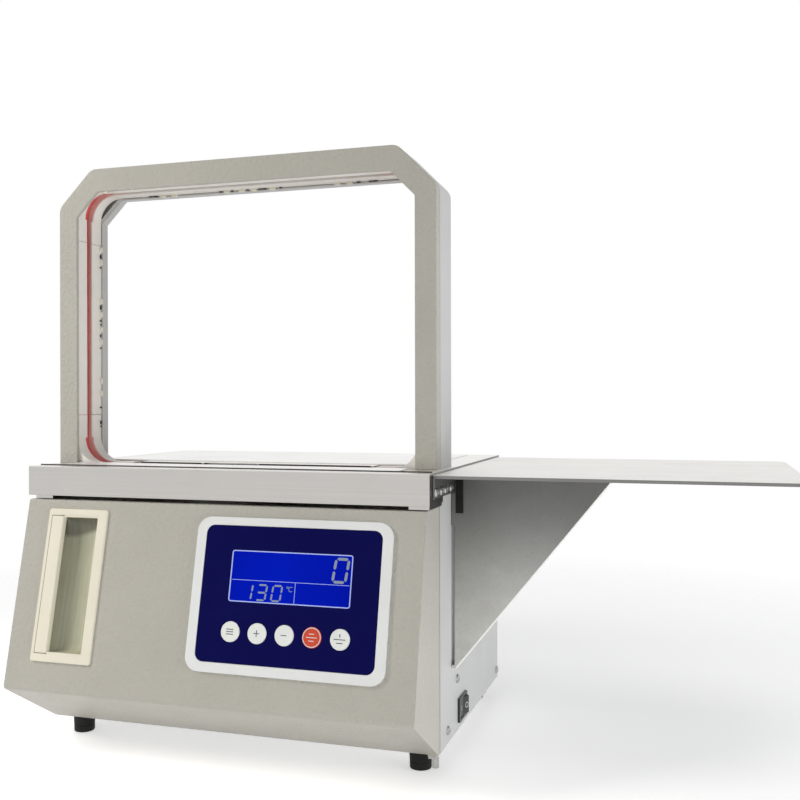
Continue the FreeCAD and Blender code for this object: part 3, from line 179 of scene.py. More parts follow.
def rounded_outline(left, right, bottom, top, radius, steps=8):
    """A rectangle with rounded corners: centre + radius (cos a, sin a), where a runs once round and
    the centre jumps from corner to corner at each quarter."""
    angle = np.concatenate([np.linspace(k, k + 1, steps) for k in range(4)]) * math.pi / 2
    quarter = np.repeat(np.arange(4), steps)
    across = np.where((quarter == 0) | (quarter == 3), right - radius, left + radius)
    up = np.where(quarter < 2, top - radius, bottom + radius)
    return np.stack([across + radius * np.cos(angle), up + radius * np.sin(angle)], axis=-1)


def circle(across, up, radius, steps=64):
    """centre + radius (cos a, sin a) for a from 0 to one turn."""
    angle = np.arange(steps) / steps * 2 * math.pi
    return np.stack([across + radius * np.cos(angle), up + radius * np.sin(angle)], axis=-1)


def stacked(outlines, heights):
    """Outlines (rows, columns, 2) lifted to one height per row."""
    outlines = np.asarray(outlines)
    lift = np.broadcast_to(np.asarray(heights, float)[:, None, None], outlines.shape[:2] + (1,))
    return np.concatenate([outlines, lift], axis=-1)


def turned(across, up, profile, steps=64):
    """A profile of (radius, height) rows turned about the axis through (across, up)."""
    rings = [circle(across, up, max(radius, 0.0), steps) for radius, height in profile]
    return stacked(rings, [height for radius, height in profile])


def band(path, widths, base, height, wrap=False):
    """A flat strip along a plane path: path + side * width / 2, where side is the path's tangent
    turned by a quarter. Its section is a rectangle from base up to base + height."""
    path = np.asarray(path, float)
    widths = np.broadcast_to(np.asarray(widths, float), len(path))
    if wrap:
        along = np.roll(path, -1, axis=0) - np.roll(path, 1, axis=0)
    else:
        along = np.gradient(path, axis=0)
    along = along / np.linalg.norm(along, axis=1, keepdims=True)
    side = np.stack([-along[:, 1], along[:, 0]], axis=-1) * widths[:, None] / 2
    left, right = path + side, path - side
    rows = np.stack([stacked([left], [base])[0], stacked([left], [base + height])[0],
                     stacked([right], [base + height])[0], stacked([right], [base])[0]], axis=1)
    parts = [(rows.reshape(-1, 3), grid_faces(len(path), 4, wrap, True))]
    if not wrap:
        ends = np.array([[0, 1, 2, 3], [3, 2, 1, 0]]) + np.array([[0], [4 * (len(path) - 1)]])
        parts.append((rows.reshape(-1, 3), ends))
    return joined(parts)


def pebble(centre, half, power=0.35, steps=14):
    """A block with soft corners: centre + half * (c(a) c(b), c(a) s(b), s(a)), where c and s are the
    cosine and sine raised to a power below one with their sign kept."""
    def soft(value):
        return np.sign(value) * np.abs(value) ** power
    a, b = np.meshgrid(np.linspace(-math.pi / 2, math.pi / 2, steps),
                       np.linspace(-math.pi, math.pi, 2 * steps), indexing="ij")
    unit = np.stack([soft(np.cos(a)) * soft(np.cos(b)), soft(np.cos(a)) * soft(np.sin(b)),
                     soft(np.sin(a))], axis=-1)
    return sheet_of(np.asarray(centre) + unit * np.asarray(half))


# The door's leaning face: x across, y up the face from the door's top edge, z outwards

FACE_TOP = np.array([0.0, -178.5, 256.0]) * MM
LEAN = math.radians(12.7)
FACE_UP = np.array([0.0, math.sin(LEAN), math.cos(LEAN)])
FACE_OUT = np.array([0.0, -math.cos(LEAN), math.sin(LEAN)])


def on_face(part):
    """Points drawn flat in millimetres, laid on the door's face."""
    points, quads = part
    across = np.zeros_like(points)
    across[:, 0] = points[:, 0]
    return (across + points[:, 1:2] * FACE_UP + points[:, 2:3] * FACE_OUT) * MM + FACE_TOP, quads


# Node groups that several finishes share

def new_group(name, inputs, outputs, vectors=()):
    """A shader node group with inputs by name and default, and outputs by name. The names in vectors
    are vector sockets and the others are floats."""
    group = bpy.data.node_groups.new(name, "ShaderNodeTree")
    for label, default in inputs.items():
        kind = "NodeSocketVector" if label in vectors else "NodeSocketFloat"
        group.interface.new_socket(label, in_out="INPUT", socket_type=kind).default_value = default
    for label in outputs:
        kind = "NodeSocketVector" if label in vectors else "NodeSocketFloat"
        group.interface.new_socket(label, in_out="OUTPUT", socket_type=kind)
    return group, group.nodes.new("NodeGroupInput"), group.nodes.new("NodeGroupOutput")


def feed(node, **values):
    """Fill a node's inputs: a socket is linked and anything else becomes the input's own value. A key
    such as in_2 names an input by its number."""
    for key, value in values.items():
        socket = node.inputs[int(key[3:]) if key.startswith("in_") else key.replace("_", " ")]
        if isinstance(value, bpy.types.NodeSocket):
            node.id_data.links.new(value, socket)
        else:
            socket.default_value = value


def put(tree, kind, settings=None, **values):
    """A node with its options from settings and its inputs from values."""
    node = tree.nodes.new(kind)
    for option, value in (settings or {}).items():
        setattr(node, option, value)
    feed(node, **values)
    return node


def calculate(tree, operation, first, second=0.0, third=0.0):
    node = put(tree, "ShaderNodeMath", {"operation": operation}, in_0=first, in_1=second, in_2=third)
    return node.outputs[0]


def product(tree, first, *others):
    for other in others:
        first = calculate(tree, "MULTIPLY", first, other)
    return first


def spread(tree, value, low, high, to_low=0.0, to_high=1.0):
    """The value carried from one range to another and held inside it."""
    node = put(tree, "ShaderNodeMapRange", {"clamp": True}, Value=value, From_Min=low, From_Max=high,
               To_Min=to_low, To_Max=to_high)
    return node.outputs[0]


def blended(tree, factor, first, second):
    """Colour mix: first where the factor is 0, second where it is 1."""
    node = put(tree, "ShaderNodeMix", {"data_type": "RGBA"}, in_0=factor, in_6=first, in_7=second)
    return node.outputs[2]


def noise(tree, vector, scale, detail=3.0, roughness=0.5):
    node = put(tree, "ShaderNodeTexNoise", Vector=vector, Scale=scale, Detail=detail, Roughness=roughness)
    return node.outputs[0]


def object_space(tree):
    return put(tree, "ShaderNodeTexCoord").outputs["Object"]


def axes(tree, vector):
    """The X, Y and Z of a vector, by name."""
    return put(tree, "ShaderNodeSeparateXYZ", Vector=vector).outputs


def build_orange_peel():
    """Sprayed powder: rounded cells from smooth noise with finer noise over them."""
    group, given, out = new_group("Orange peel", {"Cell": 0.003, "Fine": 0.0008}, ("Height", "Mottle"))
    place = object_space(group)
    coarse = noise(group, place, calculate(group, "DIVIDE", 1.0, given.outputs["Cell"]), 1.5, 0.45)
    fine = noise(group, place, calculate(group, "DIVIDE", 1.0, given.outputs["Fine"]), 2.0, 0.5)
    cells = spread(group, coarse, 0.35, 0.65)
    feed(out, Height=calculate(group, "MULTIPLY_ADD", fine, 0.25, cells),
         Mottle=spread(group, noise(group, place, 9.0, 4.0, 0.6), 0.3, 0.7))
    return group


def build_brushing():
    """Brushed metal: noise stretched along one axis, in two widths of line."""
    group, given, out = new_group("Brushing", {"Stretch": (6.0, 900.0, 900.0)}, ("Height", "Streak"),
                                  ("Stretch",))
    place = put(group, "ShaderNodeVectorMath", {"operation": "MULTIPLY"}, in_0=object_space(group),
                in_1=given.outputs["Stretch"]).outputs[0]
    fine = noise(group, place, 1.0, 4.0, 0.7)
    wide = noise(group, place, 0.22, 2.0, 0.5)
    streak = calculate(group, "MULTIPLY_ADD", fine, 0.6, product(group, wide, 0.4))
    feed(out, Height=fine, Streak=spread(group, streak, 0.35, 0.65))
    return group


def build_handling():
    """Handling marks: soft smudges, and sparse fine scratches where a stretched noise peaks."""
    group, given, out = new_group("Handling", {"Size": 0.06}, ("Smudge", "Scratch"))
    place = object_space(group)
    smudge = noise(group, place, calculate(group, "DIVIDE", 1.0, given.outputs["Size"]), 5.0, 0.6)
    lines = put(group, "ShaderNodeMapping", Vector=place, Rotation=(0.4, 0.7, 0.5),
                Scale=(12.0, 300.0, 300.0))
    scratch = noise(group, lines.outputs[0], 1.0, 2.0, 0.4)
    feed(out, Smudge=spread(group, smudge, 0.42, 0.72), Scratch=spread(group, scratch, 0.70, 0.76))
    return group


def build_edge_wear():
    """Where the surface turns within a short radius: one minus the cosine between the plain normal
    and the normal of a rounded edge, broken up by noise."""
    group, given, out = new_group("Edge wear", {"Radius": 0.001}, ("Edge", "Normal"), ("Normal",))
    rounded = put(group, "ShaderNodeBevel", {"samples": 4}, Radius=given.outputs["Radius"]).outputs[0]
    plain = put(group, "ShaderNodeNewGeometry").outputs["Normal"]
    cosine = put(group, "ShaderNodeVectorMath", {"operation": "DOT_PRODUCT"}, in_0=rounded, in_1=plain)
    turn = spread(group, calculate(group, "SUBTRACT", 1.0, cosine.outputs["Value"]), 0.01, 0.12)
    patch = spread(group, noise(group, object_space(group), 140.0, 4.0, 0.6), 0.35, 0.6, 0.25, 1.0)
    feed(out, Edge=product(group, turn, patch), Normal=rounded)
    return group


def build_facing():
    """Which way a surface looks: Level is 1 where it looks up, Right is 1 where it looks along +X, and
    Height is 0 at a low level and 1 at a high one."""
    group, given, out = new_group("Facing", {"Low": 0.0, "High": 1.0}, ("Level", "Right", "Height"))
    normal = axes(group, put(group, "ShaderNodeNewGeometry").outputs["True Normal"])
    height = put(group, "ShaderNodeMapRange", {"clamp": True, "interpolation_type": "SMOOTHSTEP"},
                 Value=axes(group, object_space(group))["Z"], From_Min=given.outputs["Low"],
                 From_Max=given.outputs["High"])
    feed(out, Level=spread(group, normal["Z"], 0.5, 0.85), Right=spread(group, normal["X"], 0.5, 0.85),
         Height=height.outputs[0])
    return group


def build_groups():
    GROUPS["peel"] = build_orange_peel()
    GROUPS["brushing"] = build_brushing()
    GROUPS["handling"] = build_handling()
    GROUPS["edge"] = build_edge_wear()
    GROUPS["facing"] = build_facing()


def use_group(tree, name, **values):
    return put(tree, "ShaderNodeGroup", {"node_tree": GROUPS[name]}, **values).outputs


# Finishes: each is a material with one Principled shader

def nodes_of(name):
    """A finish's node tree and its shader."""
    tree = FINISHES[name].node_tree
    return tree, tree.nodes["Principled BSDF"]


def new_finish(name, **plain):
    """A new material. The values given here are the same all over."""
    FINISHES[name] = bpy.data.materials.new(name)
    FINISHES[name].use_nodes = True
    tree, shader = nodes_of(name)
    feed(shader, **plain)
    return tree, shader


def bump(tree, height, distance, strength, **plain):
    node = put(tree, "ShaderNodeBump", Height=height, Distance=distance, Strength=strength, **plain)
    return node.outputs[0]


def tone(colour, factor):
    return tuple(min(channel * factor, 1.0) for channel in colour) + (1.0,)


def two_tones(tree, pattern, colour, dark, light):
    return blended(tree, pattern, tone(colour, dark), tone(colour, light))


def weathered(tree, base, colour, marks, worn, dust, light):
    """A base colour that is darker under the smudges and lighter along the worn edges. Dust and light
    are each a share and the tone that it goes to."""
    dusty = blended(tree, product(tree, marks["Smudge"], dust[0]), base, tone(colour, dust[1]))
    return blended(tree, product(tree, worn["Edge"], light[0]), dusty, tone(colour, light[1]))


def paint_finish(name, colour, cell, fine, depth, roughness):
    """Powder coat: peel in the height, mottled colour, smudged gloss and lighter edges."""
    tree, shader = new_finish(name, Coat_Weight=0.12, Coat_Roughness=0.35)
    peel = use_group(tree, "peel", Cell=cell, Fine=fine)
    marks = use_group(tree, "handling", Size=0.09)
    worn = use_group(tree, "edge", Radius=0.0009)
    base = two_tones(tree, peel["Mottle"], colour, 0.97, 1.03)
    feed(shader, Base_Color=weathered(tree, base, colour, marks, worn, (0.10, 0.80), (0.25, 1.35)),
         Roughness=spread(tree, marks["Smudge"], 0.0, 1.0, roughness, roughness + 0.12),
         Normal=bump(tree, peel["Height"], depth, 1.0, Normal=worn["Normal"]))


def metal_finish(name, colour, stretch, roughness, depth=0.00002, edge=0.0005, smudge=0.25):
    """Bare sheet or ground steel with its brushing, smudges and a few scratches."""
    tree, shader = new_finish(name, Metallic=1.0)
    lines = use_group(tree, "brushing", Stretch=stretch)
    marks = use_group(tree, "handling", Size=0.07)
    worn = use_group(tree, "edge", Radius=edge)
    base = two_tones(tree, lines["Streak"], colour, 0.90, 1.06)
    rough = spread(tree, lines["Streak"], 0.0, 1.0, roughness - 0.06, roughness + 0.06)
    height = calculate(tree, "SUBTRACT", lines["Height"], product(tree, marks["Scratch"], 0.8))
    feed(shader, Base_Color=weathered(tree, base, colour, marks, worn, (smudge, 0.82), (0.6, 1.3)),
         Roughness=calculate(tree, "MULTIPLY_ADD", marks["Smudge"], 0.08, rough),
         Normal=bump(tree, height, depth, 0.6, Normal=worn["Normal"]))


def moulded_finish(name, colour, cell, depth, roughness, coat=0.0, gloss=0.5):
    """Moulded plastic: fine spark grain, faint flow marks and handling."""
    tree, shader = new_finish(name, Coat_Weight=coat, Coat_Roughness=0.2, IOR=1.48,
                              Specular_IOR_Level=gloss)
    peel = use_group(tree, "peel", Cell=cell, Fine=cell * 0.4)
    marks = use_group(tree, "handling", Size=0.03)
    worn = use_group(tree, "edge", Radius=0.0006)
    base = two_tones(tree, peel["Mottle"], colour, 0.96, 1.03)
    feed(shader, Base_Color=weathered(tree, base, colour, marks, worn, (0.15, 0.75), (0.25, 1.3)),
         Roughness=spread(tree, marks["Smudge"], 0.0, 1.0, roughness, roughness + 0.15),
         Normal=bump(tree, peel["Height"], depth, 0.7, Normal=worn["Normal"]))


def shade_base(name, factor_in):
    """Multiply a finish's base colour by the factor that factor_in works out in its tree. All its uses paint
    shade, shadow or reflection into the colour.
    """
    tree, shader = nodes_of(name)
    plain = shader.inputs["Base Color"].links[0].from_socket
    scaled = put(tree, "ShaderNodeVectorMath", {"operation": "SCALE"}, in_0=plain, Scale=factor_in(tree))
    feed(shader, Base_Color=scaled.outputs[0])


def shade_sides(name, right, upright, level=1.0):
    """Painted shade and painted reflection on a metal finish: faces are multiplied by a factor for where they
    look, along +X, upright or down, and up, each with its own factor. The upright ones get the painted
    reflection of a darker room than the level ones."""
    def factor_in(tree):
        facing = use_group(tree, "facing")
        by_level = spread(tree, facing["Level"], 0.0, 1.0, upright, level)
        return product(tree, by_level, spread(tree, facing["Right"], 0.0, 1.0, 1.0, right / upright))

    shade_base(name, factor_in)


def shade_height(name, low, high, at_low, at_high):
    """Painted reflection and shade on a metal finish: brighter near one level, like a mirrored pale floor,
    and darker near another, like a mirrored dark room.
    """
    def factor_in(tree):
        height = use_group(tree, "facing", Low=low, High=high)["Height"]
        return spread(tree, height, 0.0, 1.0, at_low, at_high)

    shade_base(name, factor_in)


def shade_trough(name):
    """The pull's recess: long lighter and darker streaks down it, a band of painted shade along its left side
    and a painted shadow over its upper end, whose lower edge runs higher on the right."""
    left, right, bottom, top = (float(edge) * MM for edge in PULL_MOUTH)

    def factor_in(tree):
        place = object_space(tree)
        up = put(tree, "ShaderNodeVectorMath", {"operation": "DOT_PRODUCT"}, in_0=place, in_1=tuple(FACE_UP))
        below = calculate(tree, "SUBTRACT", float(FACE_TOP @ FACE_UP) + top, up.outputs["Value"])
        share = spread(tree, axes(tree, place)["X"], left, right)
        # Painted shadow over the upper end: its lower edge runs from about 19.5 mm below the top on the left
        # to 9.5 mm on the right
        border = spread(tree, share, 0.15, 1.0, 0.0195, 0.0095)
        end = spread(tree, calculate(tree, "SUBTRACT", below, border), -0.0035, 0.0012, 0.42, 1.0)
        # Painted shade along the left side, down to 0.74 at the left wall
        side = spread(tree, share, 0.10, 0.42, 0.74, 1.0)
        lines = put(tree, "ShaderNodeMapping", Vector=place, Scale=(420.0, 9.0, 9.0)).outputs[0]
        streak = spread(tree, noise(tree, lines, 1.0, 2.0, 0.5), 0.3, 0.7, 0.88, 1.14)
        return product(tree, end, side, streak)

    shade_base(name, factor_in)


def painted_glow(name, colour, strength):
    """Painted light: a glow that makes a thin plastic look lit from behind, broken up by smudge noise."""
    tree, shader = nodes_of(name)
    marks = use_group(tree, "handling", Size=0.03)
    feed(shader, Emission_Strength=strength,
         Emission_Color=two_tones(tree, marks["Smudge"], colour, 1.0, 0.8))


def pale_top_run(name, colour):
    """The liner's straight run over the opening is pale and unlit. It lies between the upper corners,
    which end within 146 to 154 mm of the arch's middle, and over half a metre up."""
    tree, shader = nodes_of(name)
    place = axes(tree, object_space(tree))
    aside = calculate(tree, "ABSOLUTE", calculate(tree, "SUBTRACT", place["X"], ARCH_MIDDLE))
    between = spread(tree, aside, 0.146, 0.154, 1.0, 0.0)
    mask = product(tree, between, spread(tree, place["Z"], 0.50, 0.52))
    for key, over in (("Base Color", tone(colour, 1.0)), ("Emission Color", (0.0, 0.0, 0.0, 1.0))):
        plain = shader.inputs[key].links[0].from_socket
        tree.links.new(blended(tree, mask, plain, over), shader.inputs[key])


def screen_finish(name, colour):
    """Backlit window: brighter near its middle, with a faint cloudiness."""
    tree, shader = new_finish(name, Emission_Strength=0.85, Specular_IOR_Level=0.03)
    place = object_space(tree)
    middle, reach = 0.075, 0.075
    aside = calculate(tree, "ABSOLUTE", calculate(tree, "SUBTRACT", axes(tree, place)["X"], middle))
    glow = spread(tree, aside, 0.0, reach, 1.0, 0.0)
    cloud = noise(tree, place, 18.0, 2.0, 0.5)
    level = calculate(tree, "MULTIPLY_ADD", glow, 0.6, product(tree, cloud, 0.5))
    brightest = (colour[0], colour[1] + 0.006, min(colour[2] * 1.1, 1.0), 1.0)
    feed(shader, Emission_Color=blended(tree, level, tone(colour, 0.72), brightest),
         Base_Color=two_tones(tree, level, colour, 0.12, 0.2),
         Roughness=spread(tree, cloud, 0.3, 0.7, 0.25, 0.35))


def ringed_finish(name, colour, axis, rings, roughness, depth):
    """Wound tape: rings round an axis along Y, worked out from the distance to that axis."""
    tree, shader = new_finish(name, Coat_Weight=0.25, Coat_Roughness=0.25)
    place = axes(tree, object_space(tree))
    offsets = [calculate(tree, "SUBTRACT", place[key], middle) for key, middle in zip("XZ", axis)]
    squares = [product(tree, offset, offset) for offset in offsets]
    radius = calculate(tree, "SQRT", calculate(tree, "ADD", *squares))
    line_place = put(tree, "ShaderNodeCombineXYZ", X=product(tree, radius, rings)).outputs[0]
    layers = noise(tree, line_place, 1.0, 4.0, 0.75)
    marks = use_group(tree, "handling", Size=0.04)
    base = two_tones(tree, spread(tree, layers, 0.3, 0.7), colour, 0.72, 1.1)
    feed(shader, Base_Color=blended(tree, product(tree, marks["Smudge"], 0.2), base, tone(colour, 0.7)),
         Roughness=spread(tree, layers, 0.3, 0.7, roughness, roughness + 0.15),
         Normal=bump(tree, layers, depth, 0.8))


def mark_finish(name, colour, glow=0.0):
    """Printed or lit mark, or a strip of painted shade or painted highlight: nearly plain ink with a faint
    grain.
    """
    tree, shader = new_finish(name, Emission_Strength=glow)
    grain = noise(tree, object_space(tree), 900.0, 2.0, 0.5)
    ink = two_tones(tree, grain, colour, 0.88, 1.08)
    feed(shader, Base_Color=ink, Roughness=spread(tree, grain, 0.3, 0.7, 0.4, 0.55))
    if glow:
        feed(shader, Emission_Color=ink)


def board_finish(name, colour, copper):
    """Circuit board: solder mask over right-angled tracks and copper pads."""
    tree, shader = new_finish(name, Coat_Weight=0.5, Coat_Roughness=0.15)
    place = object_space(tree)
    tracks = put(tree, "ShaderNodeTexBrick", {"offset": 0.37, "squash": 0.7, "squash_frequency": 3},
                 Vector=place, Scale=180.0, Mortar_Size=0.06, Mortar_Smooth=0.1, Brick_Width=1.7,
                 Row_Height=0.35).outputs["Fac"]
    pads = put(tree, "ShaderNodeTexVoronoi", {"feature": "F1"}, Vector=place, Scale=260.0)
    dot = spread(tree, pads.outputs["Distance"], 0.16, 0.22, 1.0, 0.0)
    feed(shader, Base_Color=blended(tree, dot, two_tones(tree, tracks, colour, 0.7, 1.8), tone(copper, 1.0)),
         Roughness=spread(tree, dot, 0.0, 1.0, 0.35, 0.22), Normal=bump(tree, tracks, 0.00005, 0.5))


# Stretch of the brushing along X, Y and Z: long fine lines, coarser lines, and even clouds
FINE_LINES = (4.0, 2600.0, 2600.0)
SHEET_LINES = (5.0, 1800.0, 1800.0)
CLOUDED = (300.0, 300.0, 300.0)


def build_finishes():
    shade = colours()
    # Paints: colour, width of the cells and of the finer grain, height, roughness
    paint_finish("warm_paint", shade.warm_paint, 0.0034, 0.0009, 0.00046, 0.42)
    paint_finish("cool_paint", shade.cool_paint, 0.0016, 0.0006, 0.00006, 0.38)

    # Metals: colour, brushing, roughness, its height, radius of the edge wear, share of smudges
    metal_finish("deck_steel", (0.56, 0.545, 0.52), FINE_LINES, 0.34, 0.00001, smudge=0.12)
    metal_finish("plate_steel", (0.90, 0.895, 0.88), SHEET_LINES, 0.45, 0.00001)
    metal_finish("table_steel", (0.80, 0.79, 0.765), SHEET_LINES, 0.45, 0.00001)
    metal_finish("gusset_steel", (0.50, 0.50, 0.48), CLOUDED, 0.42, 0.000004, 0.0012, smudge=0.05)
    metal_finish("plated_sheet", (0.52, 0.52, 0.49), (60.0, 60.0, 60.0), 0.45)
    metal_finish("machined_steel", (0.50, 0.50, 0.51), (900.0, 900.0, 12.0), 0.30)
    metal_finish("bright_screw", (0.46, 0.46, 0.45), (500.0, 500.0, 500.0), 0.20, 0.000008, 0.0003)
    # Painted reflection and shade: the deck's right end darker and its level faces brighter, the table's
    # upright and right-facing faces darker, the gusset brighter low down and darker high up
    shade_sides("deck_steel", 0.40, 1.0, 1.5)
    shade_sides("table_steel", 0.45, 0.30)
    shade_height("gusset_steel", 0.10, 0.27, 1.26, 0.35)

    # Plastics: colour, width and height of the grain, roughness, coat
    moulded_finish("cream_plastic", shade.cream, 0.0009, 0.00002, 0.42, 0.08)
    moulded_finish("olive_plastic", shade.olive, 0.0009, 0.00002, 0.36, 0.15)
    moulded_finish("red_liner", shade.liner, 0.0012, 0.00001, 0.45)
    moulded_finish("guide_plastic", (0.92, 0.88, 0.82), 0.0009, 0.00002, 0.40, 0.08)
    moulded_finish("bezel_white", (0.82, 0.83, 0.82), 0.0008, 0.000015, 0.30, 0.25)
    moulded_finish("overlay_navy", shade.navy, 0.0005, 0.00001, 0.42, 0.0, gloss=0.04)
    moulded_finish("cap_white", (0.84, 0.86, 0.83), 0.0008, 0.00001, 0.30, 0.30)
    moulded_finish("cap_red", (0.62, 0.048, 0.008), 0.0008, 0.00001, 0.30, 0.30)
    moulded_finish("black_plastic", (0.018, 0.018, 0.020), 0.0007, 0.00003, 0.36, 0.10)
    moulded_finish("black_rubber", (0.009, 0.0085, 0.008), 0.0015, 0.00006, 0.62, gloss=0.3)
    moulded_finish("grey_plastic", (0.10, 0.105, 0.115), 0.0009, 0.00003, 0.40, 0.05)
    moulded_finish("motor_case", (0.035, 0.036, 0.040), 0.0014, 0.00008, 0.34, 0.10)
    # Painted shadow and shade in the pull's trough
    shade_trough("olive_plastic")
    # Painted glow: the red liner gives off a little light of its own so that it looks lit deep in the slit
    painted_glow("red_liner", (0.55, 0.075, 0.085), 0.20)
    pale_top_run("red_liner", (0.86, 0.80, 0.74))

    board_finish("board_green", (0.012, 0.085, 0.035), (0.60, 0.52, 0.30))
    screen_finish("display_blue", shade.screen)
    ringed_finish("tape_film", (0.72, 0.62, 0.30), REEL_AXIS, 9000.0, 0.32, 0.00006)

    # Marks: colour, glow
    mark_finish("segment_grey", (0.17, 0.21, 0.26), 0.40)
    mark_finish("frame_pale", (0.30, 0.36, 0.66), 0.45)
    # Painted shade: dark strips at the deck plate's front edge and in the slots, and dark marks in the
    # guides' notches
    mark_finish("painted_shade_dark", (0.035, 0.030, 0.026))
    # Painted shade: dark olive lines in the gaps round the pull's grip bar
    mark_finish("gap_shade_olive", (0.22, 0.21, 0.15))
    mark_finish("mark_dark", (0.05, 0.055, 0.06))
    mark_finish("mark_white", (0.75, 0.76, 0.76))
    # Painted highlight: a pale strip along the front gusset's slanted edge that glows a little
    mark_finish("painted_rim_highlight", (0.80, 0.80, 0.78), 0.40)


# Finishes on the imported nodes: by the node, else by its slot in the record, which has a finish of its
# own name unless it is listed here

GUIDES = ("left", "right", "top", "corner_top_left", "corner_top_right", "corner_bottom_left",
          "corner_bottom_right")
NODE_FINISH = {"gusset_front": "gusset_steel", "gusset_rear": "gusset_steel",
               "extension_table": "table_steel", **{"guide_" + place: "guide_plastic" for place in GUIDES}}
SLOT_FINISH = {"textured_paint": "warm_paint", "smooth_paint": "cool_paint", "button_white": "cap_white",
               "button_red": "cap_red"}


def dress_nodes():
    for part in frame["record"]["subparts"]:
        slot = part["material_slot"]
        finish = NODE_FINISH.get(part["node"], SLOT_FINISH.get(slot, slot))
        materials = NODES[part["node"]].data.materials
        materials.clear()
        materials.append(FINISHES[finish])


def soften(name, radius):
    """Round a node's edges: its loose triangles are welded, and edges sharper than 30 degrees get a
    bevel. The mesh itself stays as packed."""
    node = NODES[name]
    weld = node.modifiers.new("Weld", "WELD")
    weld.merge_threshold = 1e-6
    round_off = node.modifiers.new("Soft edges", "BEVEL")
    round_off.width = radius
    round_off.segments = 2
    round_off.limit_method = "ANGLE"
    round_off.angle_limit = math.radians(30)
    round_off.use_clamp_overlap = True


# Pull: a frame round a deep trough, with a wide grip bar on its left

PULL_OUTER = (-185.0, -117.0, -160.0, -9.0)
PULL_MOUTH = (-167.0, -128.0, -150.3, -17.3)
PULL_BAR = (-180.4, -167.3, -151.6, -16.4)


def pull_frame():
    """The frame: outlines blended from the outer edge to the mouth, P = outer + s (mouth - outer),
    each at its own height, with a step near the mouth and a wall that runs down into it."""
    outer = rounded_outline(*PULL_OUTER, 2.5)
    mouth = rounded_outline(*PULL_MOUTH, 1.2)
    steps = [(0.0, 0.1), (0.0, 1.9), (0.012, 2.4), (0.04, 2.7), (0.09, 2.8), (0.74, 2.8), (0.78, 2.6),
             (0.80, 2.2), (0.96, 2.1), (1.0, 1.7), (1.0, 0.0), (1.0, -2.2), (0.93, -2.2), (0.93, 0.1)]
    rows = [outer + share * (mouth - outer) for share, height in steps]
    return sheet_of(stacked(rows, [height for share, height in steps]), True, True)


def pull_bar():
    """The grip bar on the frame's wide left side: outlines that shrink towards a raised ridge,
    P = middle + (1 - s) (edge - middle), with heights that rise and level off."""
    edge = rounded_outline(*PULL_BAR, 1.0)
    left, right, bottom, top = PULL_BAR
    steps = [(0.0, 2.0), (0.0, 3.0), (0.4, 3.35), (1.4, 3.55), (3.4, 3.65), (5.6, 3.7), (6.2, 3.7)]
    rows = []
    for inset, height in steps[:-1]:
        radius = max(1.0 - inset, 0.0) + 0.001
        rows.append(rounded_outline(left + inset, right - inset, bottom + inset, top - inset, radius))
    spine = edge.copy()
    spine[:, 0] = (left + right) / 2
    spine[:, 1] = np.clip(edge[:, 1], bottom + 6.2, top - 6.2)
    rows.append(spine)
    return sheet_of(stacked(rows, [height for inset, height in steps]), False, True)


def pull_trough(depth):
    """The trough: across it (x, z) = (c + a cos f, -1 - d sin(f)^0.6), f from 0 to half a turn. Its
    depth d fades towards both ends as (1 - |t|^p)^0.5, t from -1 to 1 along it, and the power p is
    smaller at the upper end, which is scooped."""
    turn, along = np.meshgrid(np.linspace(0.0, math.pi, 49), np.linspace(-1.0, 1.0, 81), indexing="ij")
    along = np.sign(along) * (1 - (1 - np.abs(along)) ** 1.6)
    left, right, bottom, top = PULL_MOUTH
    middle, half = (left - 1.0 + right) / 2, (right - left + 1.0) / 2
    power = np.where(along > 0, 7.0, 22.0)
    fade = np.sqrt(np.clip(1 - np.abs(along) ** power, 0.0, 1.0))
    down = -0.8 - depth * fade * np.clip(np.sin(turn), 0.0, 1.0) ** 0.6
    up = (top + bottom) / 2 + along * (top - bottom) / 2
    return sheet_of(np.stack([middle + half * np.cos(turn), up, down], axis=-1))


class STRAPPER_OT_pull(Operator):
    """Make the recessed pull in place of its plain solid"""
    bl_idname = "strapper.pull"
    bl_label = "Recessed pull"

    def execute(self, context):
        frame_piece = make_piece("pull_frame", [on_face(pull_frame())], "cream_plastic", "door")
        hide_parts("pull_cup")
        trough = make_piece("pull_trough", [on_face(pull_trough(sizes().trough_depth / MM))],
                            "olive_plastic", "door", closed=False)
        wall = trough.modifiers.new("Wall", "SOLIDIFY")
        wall.thickness = 0.0012
        wall.offset = 1.0
        make_piece("pull_grip", [on_face(pull_bar())], "cream_plastic", "door",
                   closed=False)
        left, right, bottom, top = PULL_BAR
        section = (0.7, 2.6, 0.35)
        # The grooves are dark lines of painted shade in the gaps along the grip bar's left side and at its
        # two ends
        grooves = [line((left - 0.3, bottom - 0.6), (left - 0.3, top + 0.6), *section)]
        for up in (top + 0.4, bottom - 0.4):
            grooves.append(line((left - 0.6, up), (PULL_MOUTH[0], up), *section))
        make_piece("pull_gap_shade", [on_face(part) for part in grooves], "gap_shade_olive", "door")
        return {"FINISHED"}


# Control panel: caps, printed marks and the display's segments

